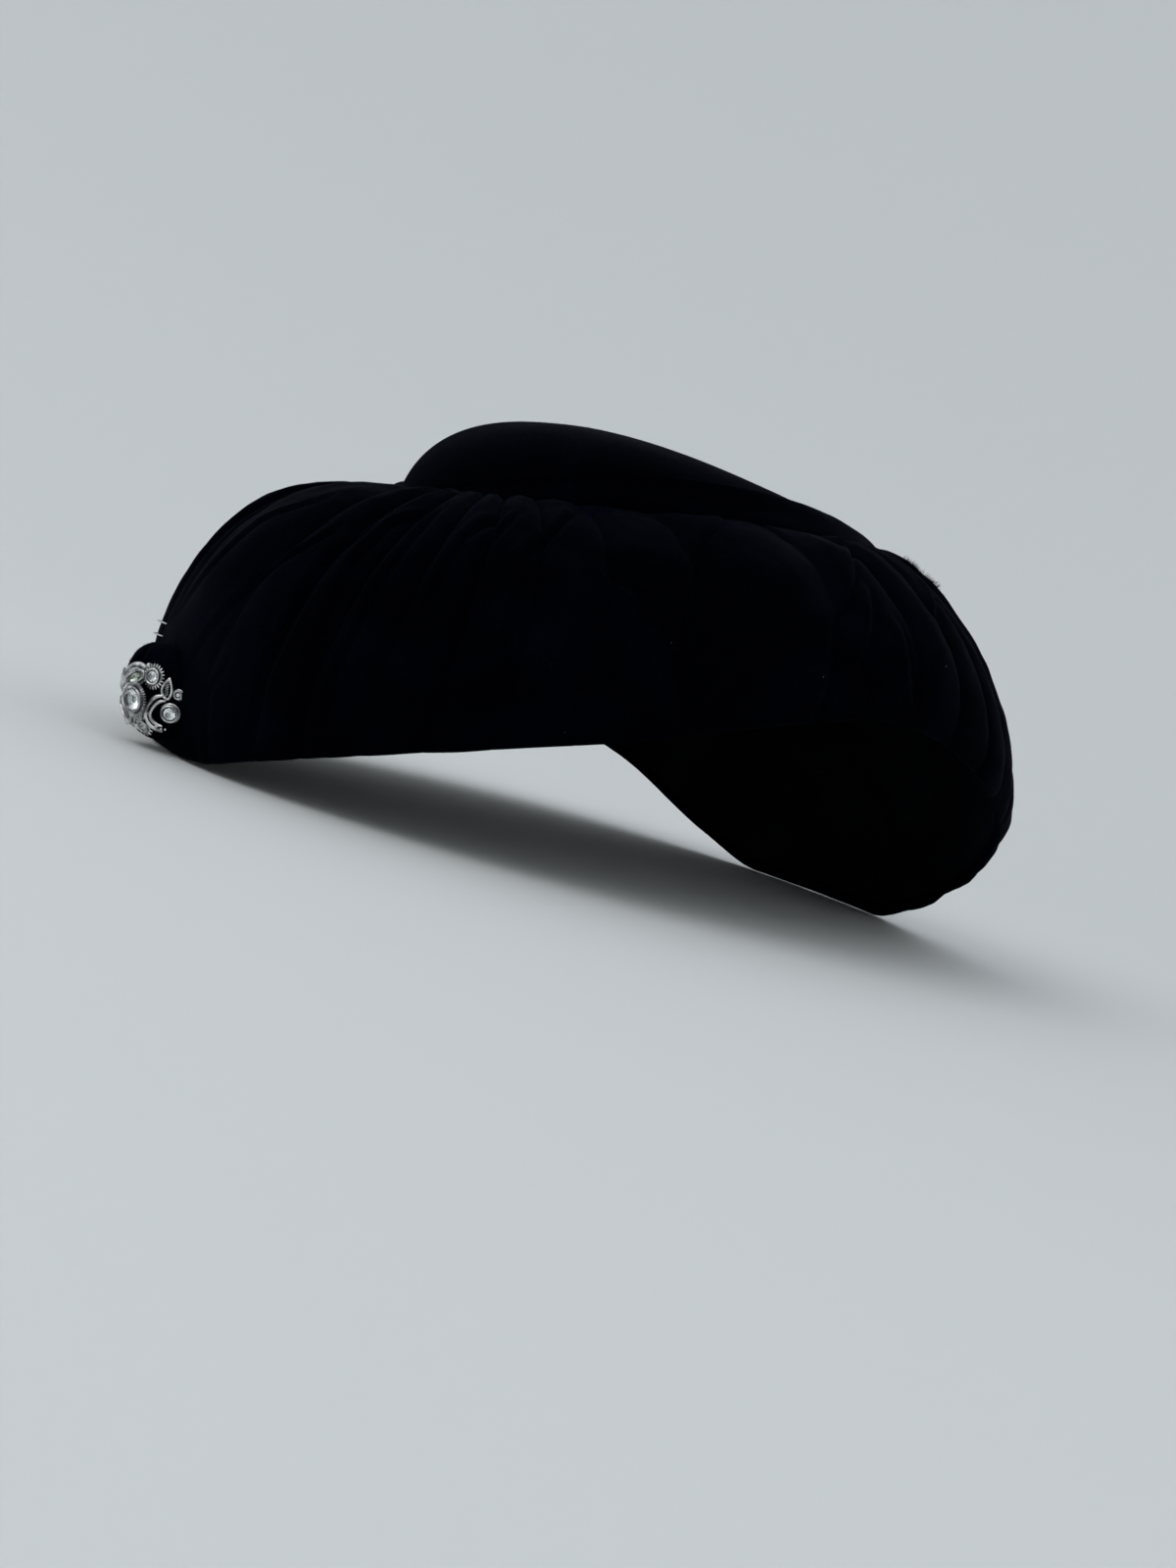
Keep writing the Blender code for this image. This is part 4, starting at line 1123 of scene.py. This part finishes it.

# %% [markdown]
# Thread ends, lint and the inside ribbon
#
# Small marks make cloth look handled: two pale stitches that hold the knot, a few fibres of lint, a tuft of nap
# at the top of the gathers whose blue shine is painted sheen. Inside, the crown ends in a narrow woven ribbon,
# which keeps the hat from slipping. All are cheap, because the helpers for wire and blades are already there.

# %% Stitches, lint and tufts
THREAD = cloth_material("pale_thread", (0.40, 0.42, 0.45), (0.66, 0.68, 0.72), 0.2, 0.00003)
# Painted sheen: a bright blue colour for a tuft of black pile where it catches the light.
TUFT_PAINTED_SHEEN = cloth_material("tuft_painted_sheen", (0.0020, 0.0022, 0.0120), (0.0060, 0.0064, 0.0320), 0.0, 0.00005)
STITCHES = ((190.0, 0.748), (190.0, 0.776))
BACK_TUFTS = ((46.0, 0.14, 0.002), (42.0, 0.20, 0.003))
stitches = []
for angle, down in STITCHES:
    line = [one(brim_point, angle - step, down) + one(brim_normal, angle - step, down) * lift
            for step, lift in ((0, 0.0006), (2.5, 0.0022), (5, 0.0006))]
    wire([Vector(point) for point in line], 0.00022, steps=12, sides=6)
    stitches.append(SILVER_PARTS.pop())
thread = join("knot_stitches", stitches, THREAD)
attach(thread, "root")


def near(angle, down, reach):
    """Weights for the faces round one place of the brim."""
    place = one(brim_point, angle, down)
    return lambda centres: np.exp(-np.sum((centres - place) ** 2, axis=1) / reach**2)


blades("lint", *pile_on(brim, 32, 0.0003, 2.0, sink=-0.0002), 0.00006, THREAD)
# A tuft of pile near the top of the gathers, with its blue shine painted into its colour as sheen.
blades("nap_tuft_painted_sheen", *pile_on(brim, 256, 0.0012, 0.5, keep=near(116.0, 0.12, 0.004)), 0.00009, TUFT_PAINTED_SHEEN)
for index, (angle, down, reach) in enumerate(BACK_TUFTS):
    tuft = pile_on(brim, 256, 0.0016, 0.35, keep=near(angle, down, reach))
    blades(f"back_tuft_{index}", *tuft, 0.00007, PILE)

# %% Ribbon inside the crown
RIBBON_TALL, RIBBON_THICK, RIBBON_RIBS = 0.016, 0.0005, 420


def ribbon_shape(angles, row):
    """Up the inner face, and back down behind it."""
    face = np.clip(row / 0.5, 0, 1)
    back_face = np.clip((row - 0.5) / 0.5, 0, 1)
    height = RIBBON_TALL * (face - back_face)
    ribs = 0.00008 * np.sin(np.radians(angles) * RIBBON_RIBS) * (back_face == 0)
    depth = CROWN_WALL + LINING_PLAY + LINING_WALL + 0.0004 + RIBBON_THICK * (back_face == 0) + ribs
    edge = foot_ring(angles, 0.0)
    inwards = MIDDLE * (1, 1, 0) - edge * (1, 1, 0)
    inwards /= np.linalg.norm(inwards, axis=1, keepdims=True)
    points = edge + inwards * (depth + SEAM + 0.0006)[:, None]
    points[:, 2] += height - 0.019
    return points


RIBBON = cloth_material(
    "black_grosgrain", (0.0020, 0.0020, 0.0026), (0.0045, 0.0045, 0.0058), 0.05, 0.00008, 60, 3000)
ribbon = mapped_grid("head_ribbon", 840, 12, ribbon_shape, RIBBON)
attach(ribbon, "root")
print("ribbon:", len(ribbon.data.polygons), "faces")
